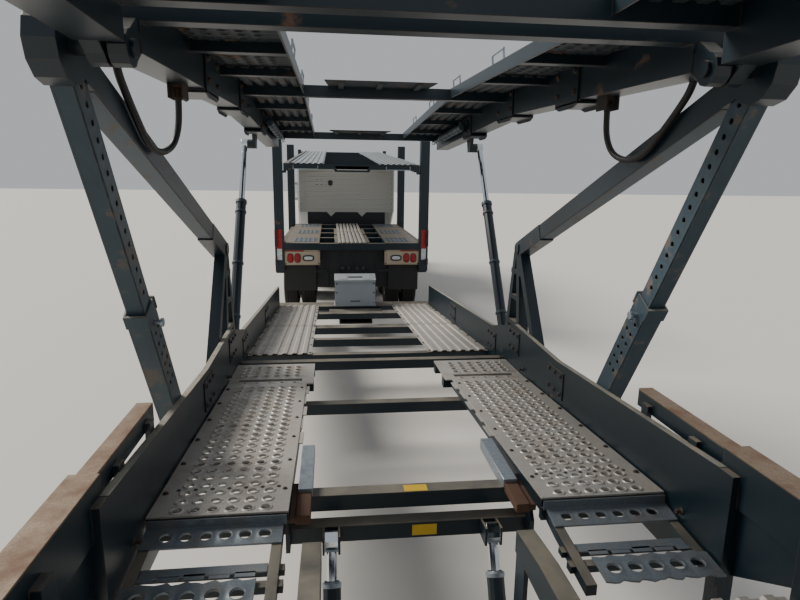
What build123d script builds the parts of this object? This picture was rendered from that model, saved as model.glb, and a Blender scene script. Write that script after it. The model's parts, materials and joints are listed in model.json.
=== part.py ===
from build123d import *
import os

os.makedirs("parts", exist_ok=True)

# A stinger-steered car transporter, in millimetres.
# +Y is forward, +X its right side, and the road is z = 0.

# Overall size and the tractor's main stations
overall_length = 24400
overall_width = 2590
front_end = overall_length / 2
rear_end = -overall_length / 2
half_width = overall_width / 2
tractor_rear = 3750
hitch_y = 2750
cab_back = 7400
cowl_y = 10000
front_axle_y = 10900
drive_axle_ys = (5150, 6450)
trailer_axle_ys = (-7250, -6050)

# Wheels: radius, width and rim of the tyres, and where they stand across the vehicle.
# Radii of many-sided forms are those of their flats.
wheel_sides = 18
drive_tyre_radius = 500
drive_tyre_width = 270
trailer_tyre_radius = 465
trailer_tyre_width = 250
rim_radius = 286
front_wheel_x = 1040
drive_pair_xs = (790, 1110)
trailer_pair_xs = (835, 1115)
spindle_radius = 55
spindle_clearance = 1
kingpin_x = 840

# Widths of the lower deck and of what stands along it
runway_in = 560
runway_out = 1150
plate_thick = 8
rail_in = 1155
rail_out = 1185
rail_wall = 8
arm_in = 1190
arm_out = 1290
tube = 80

# Widths of the upper deck
beam_in = 1000
beam_out = 1150
beam_deep = 190
upper_runway_in = 550
rib_high = 12
rib_wide = 40

# Pivots, as (y, z)
head_pivot = (-4150, 2900)
pedestal_apex = (-1500, 1920)
post_foot = (-3110, 1180)
bed_hinge = (-1960, 900)
front_lift_foot = (-1050, 1100)
front_lift_eye = (150, 2810)
rear_lift_foot = (-6870, 1512)
rear_lift_eye = (-6900, 2860)
lower_lift_foot = (-4110, 330)
lower_lift_eye = (-3830, 845)
rack_pivot = (11700, 3150)
pin_radius = 30
pin_clearance = 0.5
hinge_pin = 12
side_gap = 0.5
seat_gap = 0.3
lift_x = 1238
lower_lift_x = 380
eye_half = 30
boss_sides = 12

# Deck lines: the top edge of each run, as (y, z), rear to front
rail_line = [(-4300, 1386), (-2580, 1279), (-1640, 1300), (-960, 1120), (2740, 830)]
rail_foot_line = [(-4300, 960), (-3950, 830), (-2120, 790), (-820, 740), (760, 610), (1975, 500),
                  (2740, 465)]
rear_rail_line = [(-12050, 1110), (-8300, 1455), (-4270, 1455)]
main_plate_line = [(-3970, 1096), (-1990, 960)]
junction_line = [(-1975, 952), (-1435, 935)]
ribbed_lines = [
    [(-860, 846), (760, 706)],
    [(790, 703), (1960, 602)],
    [(1990, 590), (2700, 538)],
]
rear_deck_line = [(-12000, 830), (-8350, 1120), (-4700, 1120)]
front_bed_line = [(-4060, 3090), (-1600, 3160), (1450, 3030)]
rear_bed_line = [(-12150, 2960), (-8000, 3160), (-4240, 3090)]


def side_plate(outline, x_low, x_high, mode=Mode.ADD):
    """Solid with a (y, z) outline, from x_low to x_high."""
    with BuildSketch(Plane.YZ.offset(x_low)) as face:
        with BuildLine():
            Polyline(*outline, close=True)
        make_face()
    extrude(face.sketch, amount=x_high - x_low, mode=mode)


def plan_plate(outline, z_low, z_high, mode=Mode.ADD):
    """Solid with an (x, y) outline, from z_low to z_high."""
    with BuildSketch(Plane.XY.offset(z_low)) as face:
        with BuildLine():
            Polyline(*outline, close=True)
        make_face()
    extrude(face.sketch, amount=z_high - z_low, mode=mode)


def cross_plate(outline, y_low, y_high, mode=Mode.ADD):
    """Solid with an (x, z) outline, from y_low to y_high."""
    with BuildSketch(Plane(origin=(0, y_high, 0), x_dir=(1, 0, 0), z_dir=(0, -1, 0))) as face:
        with BuildLine():
            Polyline(*outline, close=True)
        make_face()
    extrude(face.sketch, amount=y_high - y_low, mode=mode)


def band(top_edge, deep):
    """Outline of a bent strip, from its top edge and its upright depth."""
    return list(top_edge) + [(y, z - deep) for y, z in reversed(top_edge)]


def lowered(line, drop):
    return [(y, z - drop) for y, z in line]


def raised(line, lift):
    return [(y, z + lift) for y, z in line]


def height_on(line, y):
    """Height of a deck line at y."""
    for (y_a, z_a), (y_b, z_b) in zip(line, line[1:]):
        if y_a <= y <= y_b:
            return z_a + (z_b - z_a) * (y - y_a) / (y_b - y_a)
    return line[0][1] if y < line[0][0] else line[-1][1]


def seat_height(line, y_mid, half):
    """Highest flat seat under a sloping plate, over y_mid plus and minus half."""
    return min(height_on(line, y_mid - half), height_on(line, y_mid + half)) - plate_thick


def clip_line(line, y_low, y_high):
    """The stretch of a deck line between two stations."""
    inner = [(y, z) for y, z in line if y_low < y < y_high]
    return [(y_low, height_on(line, y_low))] + inner + [(y_high, height_on(line, y_high))]


def brick(x_low, x_high, y_low, y_high, z_low, z_high, mode=Mode.ADD):
    plan_plate([(x_low, y_low), (x_high, y_low), (x_high, y_high), (x_low, y_high)],
               z_low, z_high, mode)


def strut(start, end, x_low, x_high, deep, mode=Mode.ADD):
    """Box bar between two (y, z) points, `deep` high across its run."""
    run_y = end[0] - start[0]
    run_z = end[1] - start[1]
    length = (run_y**2 + run_z**2) ** 0.5
    off_y = -run_z / length * deep / 2
    off_z = run_y / length * deep / 2
    side_plate([
        (start[0] + off_y, start[1] + off_z),
        (end[0] + off_y, end[1] + off_z),
        (end[0] - off_y, end[1] - off_z),
        (start[0] - off_y, start[1] - off_z),
    ], x_low, x_high, mode)


def along(start, end, share):
    """Point at a share of the way between two (y, z) points."""
    return (start[0] + (end[0] - start[0]) * share, start[1] + (end[1] - start[1]) * share)


def cross_bar(y_mid, z_top, x_low, x_high, wide=tube, high=tube):
    brick(x_low, x_high, y_mid - wide / 2, y_mid + wide / 2, z_top - high, z_top)


def boss(centre, x_low, x_high, radius, sides=boss_sides):
    """Many-sided boss on an axis parallel to X, at a (y, z) centre."""
    with BuildSketch(Plane.YZ.offset(x_low)) as face:
        with Locations(centre):
            RegularPolygon(radius, sides, major_radius=False)
    extrude(face.sketch, amount=x_high - x_low)


def bore(centre, x_low, x_high, radius, sides=boss_sides):
    """Hole for a pin, on an axis parallel to X."""
    with BuildSketch(Plane.YZ.offset(x_low)) as face:
        with Locations(centre):
            RegularPolygon(radius, sides, major_radius=False)
    extrude(face.sketch, amount=x_high - x_low, mode=Mode.SUBTRACT)


def pin(centre, x_low, x_high, radius):
    """Round pin on an axis parallel to X."""
    with BuildSketch(Plane.YZ.offset(x_low)) as face:
        with Locations(centre):
            Circle(radius)
    extrude(face.sketch, amount=x_high - x_low)


def bar_between(start, end, x_mid, radius, mode=Mode.ADD):
    """Many-sided rod between two (y, z) points, in the upright plane x_mid."""
    run = Vector(0, end[0] - start[0], end[1] - start[1])
    plane = Plane(origin=(x_mid, start[0], start[1]), x_dir=(1, 0, 0), z_dir=run)
    with BuildSketch(plane) as face:
        RegularPolygon(radius, boss_sides, major_radius=False)
    extrude(face.sketch, amount=run.length, mode=mode)


def drum(stations, y_mid, z_mid, sides=wheel_sides, mode=Mode.ADD):
    """Many-sided solid about the cross axis at (y_mid, z_mid), through (x, radius) stations."""
    for (x_a, radius_a), (x_b, radius_b) in zip(stations, stations[1:]):
        ends = []
        for x, radius in ((x_a, radius_a), (x_b, radius_b)):
            with BuildSketch(Plane.YZ.offset(x)) as end:
                with Locations((y_mid, z_mid)):
                    RegularPolygon(radius, sides, major_radius=False)
            ends.append(end.sketch.face())
        loft(ends, ruled=True, mode=mode)


def finish(piece, name):
    """Label one sub-part and write it out."""
    piece.part.label = name
    export_step(piece.part, f"parts/{name}.step")


# Wheels. The outer tyre of a pair has its shoulders; the one behind it is plain.
hub_bore = spindle_radius + spindle_clearance
bead_share = 0.82
shoulder_drop = 35
rim_lip = 18
hub_radius = 120
hub_reach = 45


def mirrored(side, stations):
    return [(side * x, radius) for x, radius in stations]


# Each wheel: name, side, axle y, tyre centres, tyre radius, tyre width
wheel_table = [
    ("front_left", -1, front_axle_y, (front_wheel_x,), drive_tyre_radius, drive_tyre_width),
    ("front_right", 1, front_axle_y, (front_wheel_x,), drive_tyre_radius, drive_tyre_width),
]
for axle, axle_y in zip(("rear_drive", "front_drive"), drive_axle_ys):
    for side_name, side in (("left", -1), ("right", 1)):
        wheel_table.append(
            (f"{axle}_{side_name}", side, axle_y, drive_pair_xs, drive_tyre_radius, drive_tyre_width))
for axle, axle_y in zip(("rear_trailer", "front_trailer"), trailer_axle_ys):
    for side_name, side in (("left", -1), ("right", 1)):
        wheel_table.append(
            (f"{axle}_{side_name}", side, axle_y, trailer_pair_xs, trailer_tyre_radius,
             trailer_tyre_width))

for name, side, axle_y, tyre_xs, radius, width in wheel_table:
    half = width / 2
    tread = bead_share * half
    outer_x = tyre_xs[-1]
    with BuildPart() as tyre:
        drum(mirrored(side, [
            (outer_x - half, radius - shoulder_drop), (outer_x - tread, radius),
            (outer_x + tread, radius), (outer_x + half, radius - shoulder_drop),
        ]), axle_y, radius)
        if len(tyre_xs) == 2:
            inner_x = tyre_xs[0]
            drum(mirrored(side, [(inner_x - half, radius), (inner_x + half, radius)]), axle_y, radius)
        drum(mirrored(side, [(tyre_xs[0] - half, rim_radius), (outer_x + half, rim_radius)]),
             axle_y, radius, mode=Mode.SUBTRACT)
    finish(tyre, f"{name}_tyre")
    # The rim: a drum with a dished outer face, and the hub standing in the dish
    rim_out = outer_x + tread
    rim_back = tyre_xs[0] - tread
    dish_x = outer_x + 0.3 * tread if len(tyre_xs) == 1 else (tyre_xs[0] + outer_x) / 2 + 24
    with BuildPart() as rim:
        drum(mirrored(side, [(rim_back, rim_radius), (rim_out, rim_radius)]), axle_y, radius)
        drum(mirrored(side, [(dish_x, rim_radius - 3 * rim_lip), (rim_out, rim_radius - rim_lip)]),
             axle_y, radius, mode=Mode.SUBTRACT)
        hub_end = min(dish_x + hub_reach if len(tyre_xs) == 1 else outer_x, rim_out)
        boss((axle_y, radius), *sorted((side * dish_x, side * hub_end)), hub_radius)
        bore((axle_y, radius), *sorted((side * rim_back, side * hub_end)), hub_bore)
    finish(rim, f"{name}_rim")

# Tractor deck over the drive wheels, and the chassis that carries it
deck_line = [(tractor_rear, 1384), (7150, 1440)]
deck_bar_ys = (3800, 4600, 5400, 6200, 7050)
deck_bar_deep = 110
deck_under = height_on(deck_line, 3800) - plate_thick - deck_bar_deep
frame_in = 352
frame_out = 432
frame_low = 700
frame_high = 980
frame_wall = 10
frame_rear = 3900
frame_front = 11950
stinger_half = 250
stinger_low = 300
stinger_high = 440
hitch_plate_radius = 330
hitch_plate_top = 464.5
hitch_pin_radius = 45
engine_half = 300
cab_floor = 1150

with BuildPart() as tractor_frame:
    for side in (-1, 1):
        web = sorted((side * (frame_out - frame_wall), side * frame_out))
        flange = sorted((side * frame_in, side * frame_out))
        brick(*web, frame_rear, frame_front, frame_low, frame_high)
        brick(*flange, frame_rear, frame_front, frame_low, frame_low + frame_wall)
        brick(*flange, frame_rear, frame_front, frame_high - frame_wall, frame_high)
    for member_y in (3980, 5800, 7600, 9300, 11800):
        brick(-frame_out + frame_wall, frame_out - frame_wall, member_y - 50, member_y + 50,
              frame_low + frame_wall, frame_high - frame_wall)
    for side in (-1, 1):
        leg = sorted((side * frame_in, side * frame_out))
        for bar_y in deck_bar_ys[1:]:
            top = height_on(deck_line, bar_y) - plate_thick - deck_bar_deep
            brick(*leg, bar_y - 40, bar_y + 40, frame_high - frame_wall, top)
        brick(*leg, frame_rear, frame_rear + 80, frame_high - frame_wall, deck_under)
        cheek = sorted((side * (stinger_half - 25), side * stinger_half))
        side_plate([
            (4030, frame_high - frame_wall), (3930, frame_high - frame_wall),
            (3400, stinger_high), (2450, stinger_high), (2450, stinger_low), (3650, stinger_low),
            (4030, frame_low + frame_wall),
        ], *cheek)
        for mount_y in (8380, 9860):
            brick(*leg, mount_y - 60, mount_y + 60, frame_high - frame_wall, cab_floor)
        engine_mount = sorted((side * engine_half, side * (frame_out - frame_wall)))
        for mount_y in (10250, 11050):
            brick(*engine_mount, mount_y - 50, mount_y + 50, 780, 840)
    brick(-stinger_half, stinger_half, 2450, 3450, stinger_high - 20, stinger_high)
    brick(-stinger_half, stinger_half, 2450, 3450, stinger_low, stinger_low + 20)
    with BuildSketch(Plane.XY.offset(stinger_high)) as plate_face:
        with Locations((0, hitch_y)):
            RegularPolygon(hitch_plate_radius, 2 * boss_sides)
    extrude(plate_face.sketch, amount=hitch_plate_top - stinger_high)
    with BuildSketch(Plane.XY.offset(stinger_low)) as bore_face:
        with Locations((0, hitch_y)):
            RegularPolygon(hitch_pin_radius + pin_clearance, boss_sides, major_radius=False)
    extrude(bore_face.sketch, amount=hitch_plate_top - stinger_low, mode=Mode.SUBTRACT)
finish(tractor_frame, "tractor_frame")

with BuildPart() as engine_block:
    brick(-engine_half, engine_half, cowl_y + 60, 11300, frame_low + 20, 1480)
finish(engine_block, "engine_block")


def spindles(axle_y, axle_z, pair_xs, width):
    """Round ends of an axle, which carry the hubs."""
    inner_end = pair_xs[0] - bead_share * width / 2 - 5
    outer_end = pair_xs[1] - 20
    for side in (-1, 1):
        pin((axle_y, axle_z), *sorted((side * inner_end, side * outer_end)), spindle_radius)
    return inner_end


def leaf_spring(axle_y, seat, top, half_length, side, x_low, x_high):
    """Leaf pack with its two hangers, seated on an axle and hung below a frame rail."""
    across = sorted((side * x_low, side * x_high))
    side_plate([
        (axle_y - half_length, top), (axle_y - half_length, top - 60),
        (axle_y - 120, seat), (axle_y + 120, seat),
        (axle_y + half_length, top - 60), (axle_y + half_length, top),
        (axle_y + half_length - 60, top), (axle_y + 110, seat + 50),
        (axle_y - 110, seat + 50), (axle_y - half_length + 60, top),
    ], *across)


trailer_tube_radius = 65
with BuildPart() as trailer_axles:
    for axle_y in trailer_axle_ys:
        inner_end = spindles(axle_y, trailer_tyre_radius, trailer_pair_xs, trailer_tyre_width)
        boss((axle_y, trailer_tyre_radius), -inner_end, inner_end, trailer_tube_radius)
        for side in (-1, 1):
            leaf_spring(axle_y, trailer_tyre_radius + trailer_tube_radius - 10, 900, 500, side,
                        420, 500)
finish(trailer_axles, "trailer_axles")

# Drive axles with their differentials, and the front beam, dropped between its ends
drive_tube_radius = 85
knuckle_low = drive_tyre_radius - 100
knuckle_high = drive_tyre_radius + 100
knuckle_half = 45
beam_end_half = 55
beam_half_wide = 42
beam_end_reach = 45
with BuildPart() as tractor_axles:
    for axle_y in drive_axle_ys:
        inner_end = spindles(axle_y, drive_tyre_radius, drive_pair_xs, drive_tyre_width)
        boss((axle_y, drive_tyre_radius), -inner_end, inner_end, drive_tube_radius)
        drum([(-170, drive_tube_radius), (-110, 200), (110, 200), (170, drive_tube_radius)],
             axle_y, drive_tyre_radius, boss_sides)
        for side in (-1, 1):
            leaf_spring(axle_y, drive_tyre_radius + drive_tube_radius - 10, frame_low, 560, side,
                        frame_in, frame_out)
    for side in (-1, 1):
        leaf_spring(front_axle_y, 425, frame_low, 640, side, frame_in, frame_out)
    cross_plate([
        (-kingpin_x - beam_end_reach, drive_tyre_radius - beam_end_half),
        (-kingpin_x + 70, drive_tyre_radius - beam_end_half),
        (-520, 330), (520, 330), (kingpin_x - 70, drive_tyre_radius - beam_end_half),
        (kingpin_x + beam_end_reach, drive_tyre_radius - beam_end_half),
        (kingpin_x + beam_end_reach, drive_tyre_radius + beam_end_half),
        (kingpin_x - 70, drive_tyre_radius + beam_end_half),
        (520, 430), (-520, 430), (-kingpin_x + 70, drive_tyre_radius + beam_end_half),
        (-kingpin_x - beam_end_reach, drive_tyre_radius + beam_end_half),
    ], front_axle_y - beam_half_wide, front_axle_y + beam_half_wide)
    for side in (-1, 1):
        with BuildSketch(Plane.XY.offset(knuckle_low)) as bore_face:
            with Locations((side * kingpin_x, front_axle_y)):
                RegularPolygon(25 + pin_clearance, boss_sides, major_radius=False)
        extrude(bore_face.sketch, amount=knuckle_high - knuckle_low, mode=Mode.SUBTRACT)
finish(tractor_axles, "tractor_axles")

for name, side in (("left_knuckle", -1), ("right_knuckle", 1)):
    with BuildPart() as knuckle:
        ear_x = sorted((side * (kingpin_x - knuckle_half), side * (kingpin_x + knuckle_half + 25)))
        for low, high in ((knuckle_low, drive_tyre_radius - beam_end_half - 1),
                          (drive_tyre_radius + beam_end_half + 1, knuckle_high)):
            brick(*ear_x, front_axle_y - 50, front_axle_y + 50, low, high)
        web_x = sorted((side * (kingpin_x + 68), side * (kingpin_x + 88)))
        brick(*web_x, front_axle_y - 75, front_axle_y + 75, knuckle_low, knuckle_high)
        spindle_x = sorted((side * (kingpin_x + 88), side * (front_wheel_x + 60)))
        pin((front_axle_y, drive_tyre_radius), *spindle_x, spindle_radius)
        with BuildSketch(Plane.XY.offset(knuckle_low)) as pin_face:
            with Locations((side * kingpin_x, front_axle_y)):
                Circle(25)
        extrude(pin_face.sketch, amount=knuckle_high - knuckle_low)
    finish(knuckle, name)

# Fuel tanks hung on the frame's outer faces, with the cab steps ahead of them
tank_radius = 300
tank_sides = 16
tank_x = 880
tank_rear = 7340
tank_front = 8960
with BuildPart() as fuel_tanks:
    for side in (-1, 1):
        plane = Plane(origin=(side * tank_x, tank_front, 640), x_dir=(1, 0, 0), z_dir=(0, -1, 0))
        with BuildSketch(plane) as tank_face:
            RegularPolygon(tank_radius, tank_sides)
        extrude(tank_face.sketch, amount=tank_front - tank_rear)
        strap = sorted((side * frame_out, side * (tank_x - tank_radius + 60)))
        for strap_y in (7600, 8700):
            brick(*strap, strap_y - 30, strap_y + 30, frame_low + 20, frame_low + 120)
        hang = sorted((side * frame_out, side * 1150))
        tread = sorted((side * 900, side * 1190))
        for step_z in (420, 780):
            brick(*tread, 9050, 9750, step_z, step_z + 40)
        brick(*tread, 9050, 9080, 420, 1100)
        brick(*tread, 9720, 9750, 420, 1100)
        brick(*hang, 9080, 9140, 740, 780)
        brick(*hang, 9660, 9720, 740, 780)
finish(fuel_tanks, "fuel_tanks")

# Cab: hollow shell with its windows and door openings cut
cab_half = 1090
cab_wall = 45
cab_roof = 2780
cab_chamfer = 35
door_gap = 6
swage_count = 8
cab_outline = [
    (cab_back, 1690), (cab_back, 2680), (cab_back + 100, cab_roof), (9380, cab_roof),
    (9500, 2700), (cowl_y - 20, 1930), (cowl_y, 1850), (cowl_y, cab_floor),
    (8300, cab_floor),
]
cab_inner = [
    (cab_back + cab_wall, 1710), (cab_back + cab_wall, 2660),
    (cab_back + 120, cab_roof - cab_wall), (9360, cab_roof - cab_wall),
    (9450, 2680), (cowl_y - 70, 1920), (cowl_y - cab_wall, 1840),
    (cowl_y - cab_wall, cab_floor + cab_wall), (8320, cab_floor + cab_wall),
]
door_outline = [(8680, 1200), (9880, 1200), (9880, 1930), (9430, 2620), (8680, 2620)]
door_window = [(8760, 1880), (9790, 1880), (9790, 1950), (9400, 2540), (8760, 2540)]
sleeper_window = [(7900, 1980), (8300, 1980), (8300, 2380), (7900, 2380)]
hinge_x = cab_half + 14
hinge_y = 9883
hinge_radius = 12
hinge_zs = (1400, 1800)


def upright(x_mid, y_mid, radius, z_low, z_high):
    """Round bar standing on an (x, y) centre."""
    with BuildSketch(Plane.XY.offset(z_low)) as face:
        with Locations((x_mid, y_mid)):
            Circle(radius)
    extrude(face.sketch, amount=z_high - z_low)


def side_cut(outline, grow, x_low, x_high):
    """Cut a (y, z) outline, widened all round, from x_low to x_high."""
    with BuildSketch(Plane.YZ.offset(x_low)) as face:
        with BuildLine():
            Polyline(*outline, close=True)
        make_face()
        offset(amount=grow, kind=Kind.INTERSECTION)
    extrude(face.sketch, amount=x_high - x_low, mode=Mode.SUBTRACT)


with BuildPart() as cab_shell:
    side_plate(cab_outline, -cab_half, cab_half)
    cab_ends = cab_shell.faces().filter_by(Axis.X).sort_by(Axis.X)
    chamfer(cab_ends[0].edges() + cab_ends[-1].edges(), cab_chamfer)
    side_plate(cab_inner, -cab_half + cab_wall, cab_half - cab_wall, Mode.SUBTRACT)
    side_cut(door_outline, door_gap, -cab_half, cab_half)
    # Windscreen opening, square to the slope of the pillars
    screen_slope = Vector(0, cowl_y - 20 - 9500, 1930 - 2700)
    screen_plane = Plane(origin=(0, 9740, 2315), x_dir=(1, 0, 0),
                         z_dir=Vector(0, -screen_slope.Z, screen_slope.Y))
    with BuildSketch(screen_plane) as screen_face:
        Rectangle(1960, 760)
    extrude(screen_face.sketch, amount=120, both=True, mode=Mode.SUBTRACT)
    # Swages pressed in the back wall
    for swage in range(swage_count):
        swage_z = 1760 + swage * 110
        brick(-940, 940, cab_back - 12, cab_back, swage_z, swage_z + 55)
    for side in (-1, 1):
        for hinge_z in hinge_zs:
            leaf = sorted((side * cab_half, side * (hinge_x + hinge_radius)))
            brick(*leaf, hinge_y + 2, hinge_y + 60, hinge_z - 60, hinge_z - side_gap)
            upright(side * hinge_x, hinge_y, hinge_radius, hinge_z - 60, hinge_z - side_gap)
finish(cab_shell, "cab_shell")

with BuildPart() as windscreen:
    with BuildSketch(screen_plane.offset(-22)) as glass_face:
        Rectangle(1958, 758)
    extrude(glass_face.sketch, amount=8)
finish(windscreen, "windscreen")

for side_name, side in (("left", -1), ("right", 1)):
    skin = sorted((side * (cab_half - cab_wall), side * cab_half))
    with BuildPart() as door:
        side_plate(door_outline, *skin)
        side_plate(door_window, *skin, Mode.SUBTRACT)
        # Mirror arm and head, carried by the door
        arm = sorted((side * cab_half, side * 1285))
        head = sorted((side * 1130, side * 1285))
        brick(*arm, 9560, 9590, 2290, 2320)
        brick(*head, 9540, 9610, 1900, 2290)
        brick(*arm, 9560, 9590, 1860, 1900)
        for hinge_z in hinge_zs:
            leaf = sorted((side * cab_half, side * (hinge_x + hinge_radius)))
            brick(*leaf, hinge_y - 60, hinge_y - 2, hinge_z, hinge_z + 60)
            upright(side * hinge_x, hinge_y, hinge_radius, hinge_z, hinge_z + 60)
    finish(door, f"{side_name}_door")
    with BuildPart() as pane:
        mid = sorted((side * (cab_half - 28), side * (cab_half - 20)))
        side_plate(door_window, *mid)
    finish(pane, f"{side_name}_door_glass")

# Seats and dashboard inside the cab
with BuildPart() as cab_interior:
    for side in (-1, 1):
        x_mid = side * 520
        brick(x_mid - 250, x_mid + 250, 8650, 9150, cab_floor + cab_wall, 1500)
        side_plate([(8650, 1500), (8800, 1500), (8680, 2250), (8560, 2250)],
                   x_mid - 250, x_mid + 250)
    side_plate([(9560, 1900), (9640, 1560), (cowl_y - cab_wall, 1560), (cowl_y - cab_wall, 1840),
                (9900, 1900)], -cab_half + cab_wall + 10, cab_half - cab_wall - 10)
finish(cab_interior, "cab_interior")

# Hood: a tapering nose with a fender over each front wheel, open below
hood_back = cowl_y + 8
hood_front = 11930
hood_wall = 30
hood_low = 1000
fender_half = 1180
fender_top = 1290
arch_radius = 600
grille_half = 430
grille_bars = 13
hood_pivot = (12060, 900)
hood_arm_in = 376
hood_arm_out = 396


def hood_nose(back_half, front_half, y_back, y_front, drop, low):
    """End faces of the tapering nose; drop lowers the top of both."""
    with BuildSketch(Plane(origin=(0, y_back, 0), x_dir=(-1, 0, 0), z_dir=(0, 1, 0))) as back:
        with BuildLine():
            Polyline((-back_half, low), (-back_half, 1700 - drop), (-back_half + 160, 1860 - drop),
                     (back_half - 160, 1860 - drop), (back_half, 1700 - drop), (back_half, low),
                     close=True)
        make_face()
    with BuildSketch(Plane(origin=(0, y_front, 0), x_dir=(-1, 0, 0), z_dir=(0, 1, 0))) as front:
        with BuildLine():
            Polyline((-front_half, low), (-front_half, 1520 - drop),
                     (-front_half + 120, 1640 - drop), (front_half - 120, 1640 - drop),
                     (front_half, 1520 - drop), (front_half, low), close=True)
        make_face()
    return back, front


with BuildPart() as hood:
    fender_line = [(hood_back + 60, hood_low), (hood_back + 60, fender_top - 40), (10400, fender_top),
                   (11500, fender_top), (hood_front - 40, 1200), (hood_front, 1150),
                   (hood_front, hood_low)]
    side_plate(fender_line, -fender_half, fender_half)
    fender_ends = hood.faces().filter_by(Axis.X).sort_by(Axis.X)
    chamfer((fender_ends[0].edges() + fender_ends[-1].edges()).filter_by(
        lambda edge: edge.center().Z > 1100), 25)
    back, front = hood_nose(940, 520, hood_back, hood_front, 0, hood_low)
    loft([back.sketch.face(), front.sketch.face()], ruled=True)
    back, front = hood_nose(940 - hood_wall, 520 - hood_wall, hood_back - 1,
                            hood_front - hood_wall, hood_wall, hood_low - 1)
    loft([back.sketch.face(), front.sketch.face()], ruled=True, mode=Mode.SUBTRACT)
    inner_line = [(hood_back, hood_low - 1), (hood_back, fender_top - 70), (10400, fender_top - 30),
                  (11480, fender_top - 30), (hood_front - 70, 1160), (hood_front - 30, hood_low - 1)]
    side_plate(inner_line, -fender_half + hood_wall, fender_half - hood_wall, Mode.SUBTRACT)
    bore((front_axle_y, drive_tyre_radius), -fender_half - 20, fender_half + 20, arch_radius,
         2 * boss_sides)
    # Grille: upright bars between a sill and a header
    for low, high in ((1010, 1050), (1560, 1600)):
        brick(-grille_half, grille_half, hood_front, hood_front + 30, low, high)
    for bar in range(grille_bars):
        bar_x = -grille_half + 15 + bar * (2 * grille_half - 30) / (grille_bars - 1)
        brick(bar_x - 12, bar_x + 12, hood_front, hood_front + 22, 1050, 1560)
    for side in (-1, 1):
        arm = sorted((side * hood_arm_in, side * hood_arm_out))
        side_plate([(hood_front - 25, 1120), (hood_front + 5, 1120), (12085, 915), (12070, 880),
                    (12040, 880), (frame_front + 10, 1000), (hood_front - 25, 1000)], *arm)
        boss(hood_pivot, *arm, 28)
        bore(hood_pivot, *arm, hinge_pin + pin_clearance)
finish(hood, "hood")

with BuildPart() as headlamps:
    for side in (-1, 1):
        lamp = sorted((side * 650, side * 1060))
        brick(*lamp, hood_front, hood_front + 45, 1005, 1150)
finish(headlamps, "headlamps")

with BuildPart() as bumper:
    plan_plate([
        (-1240, 11720), (-1180, 12090), (-700, front_end), (700, front_end), (1180, 12090),
        (1240, 11720), (1200, 11720), (1140, 12060), (690, front_end - 60),
        (-690, front_end - 60), (-1140, 12060), (-1200, 11720),
    ], 420, 860)
    for side in (-1, 1):
        stay = sorted((side * frame_in, side * frame_out))
        brick(*stay, frame_front, front_end - 60, 700, 860)
        for ear_x in ((hood_arm_in - 14, hood_arm_in - 2), (hood_arm_out + 2, hood_arm_out + 14)):
            brick(*sorted((side * ear_x[0], side * ear_x[1])), hood_pivot[0] - 25,
                  hood_pivot[0] + 25, 855, hood_pivot[1] + 25)
        pin(hood_pivot, *sorted((side * (hood_arm_in - 14), side * (hood_arm_out + 14))), hinge_pin)
finish(bumper, "front_bumper")

# Tractor deck: a track for each wheel and a walkway in two sections between them
with BuildPart() as tractor_deck:
    for side in (-1, 1):
        track = sorted((side * 560, side * 1130))
        side_plate(band(deck_line, plate_thick), *track)
        for lip_x in ((560, 568), (1122, 1130)):
            lip = sorted((side * lip_x[0], side * lip_x[1]))
            side_plate(band(lowered(deck_line, plate_thick), 90), *lip)
    for walk_low, walk_high in ((3850, 4950), (5050, 6100)):
        walk = clip_line(deck_line, walk_low, walk_high)
        side_plate(band(walk, plate_thick), -300, 300)
        for rib in range(4):
            rib_x = -240 + rib * 146
            side_plate(band(raised(walk, rib_high), rib_high), rib_x, rib_x + rib_wide)
    for bar_y in deck_bar_ys:
        top = height_on(deck_line, bar_y) - plate_thick
        brick(-1140, 1140, bar_y - 50, bar_y + 50, top - deck_bar_deep, top)
finish(tractor_deck, "tractor_deck")

# Side posts of the tractor and the fixed rack frame
post_in = 1145
rack_beam_in = 1040
rack_beam_out = 1125
rack_deep = 120
rack_line = [(3770, 2690), (11820, 3190)]
with BuildPart() as rack_posts:
    for side in (-1, 1):
        across = sorted((side * post_in, side * half_width))
        brick(*across, tractor_rear, tractor_rear + 150, 900, 3150)
        brick(*across, 7150, 7300, 1000, 3150)
        across = sorted((side * 1195, side * 1285))
        side_plate([(11560, 780), (11680, 860), (11760, 3100), (11760, 3230), (11640, 3230),
                    (11640, 3100)], *across)
        sill = sorted((side * post_in, side * (post_in + 80)))
        brick(*sill, tractor_rear + 150, 7150, 1240, 1380)
        # Outriggers from the frame to the posts
        arm = sorted((side * frame_out, side * half_width))
        brick(*arm, 7170, 7270, 900, 1000)
        brick(*arm, 11570, 11670, 780, 860)
        brick(*arm, 3860, 3960, 860, 900)
        pin(rack_pivot, *sorted((side * rack_beam_in, side * 1200)), pin_radius)
        rest = sorted((side * 1085, side * (post_in + 5)))
        for rest_y in (3825, 7225):
            top = height_on(rack_line, rest_y - 30) - rack_deep - seat_gap
            brick(*rest, rest_y - 30, rest_y + 30, top - 35, top)
finish(rack_posts, "rack_posts")

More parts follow.
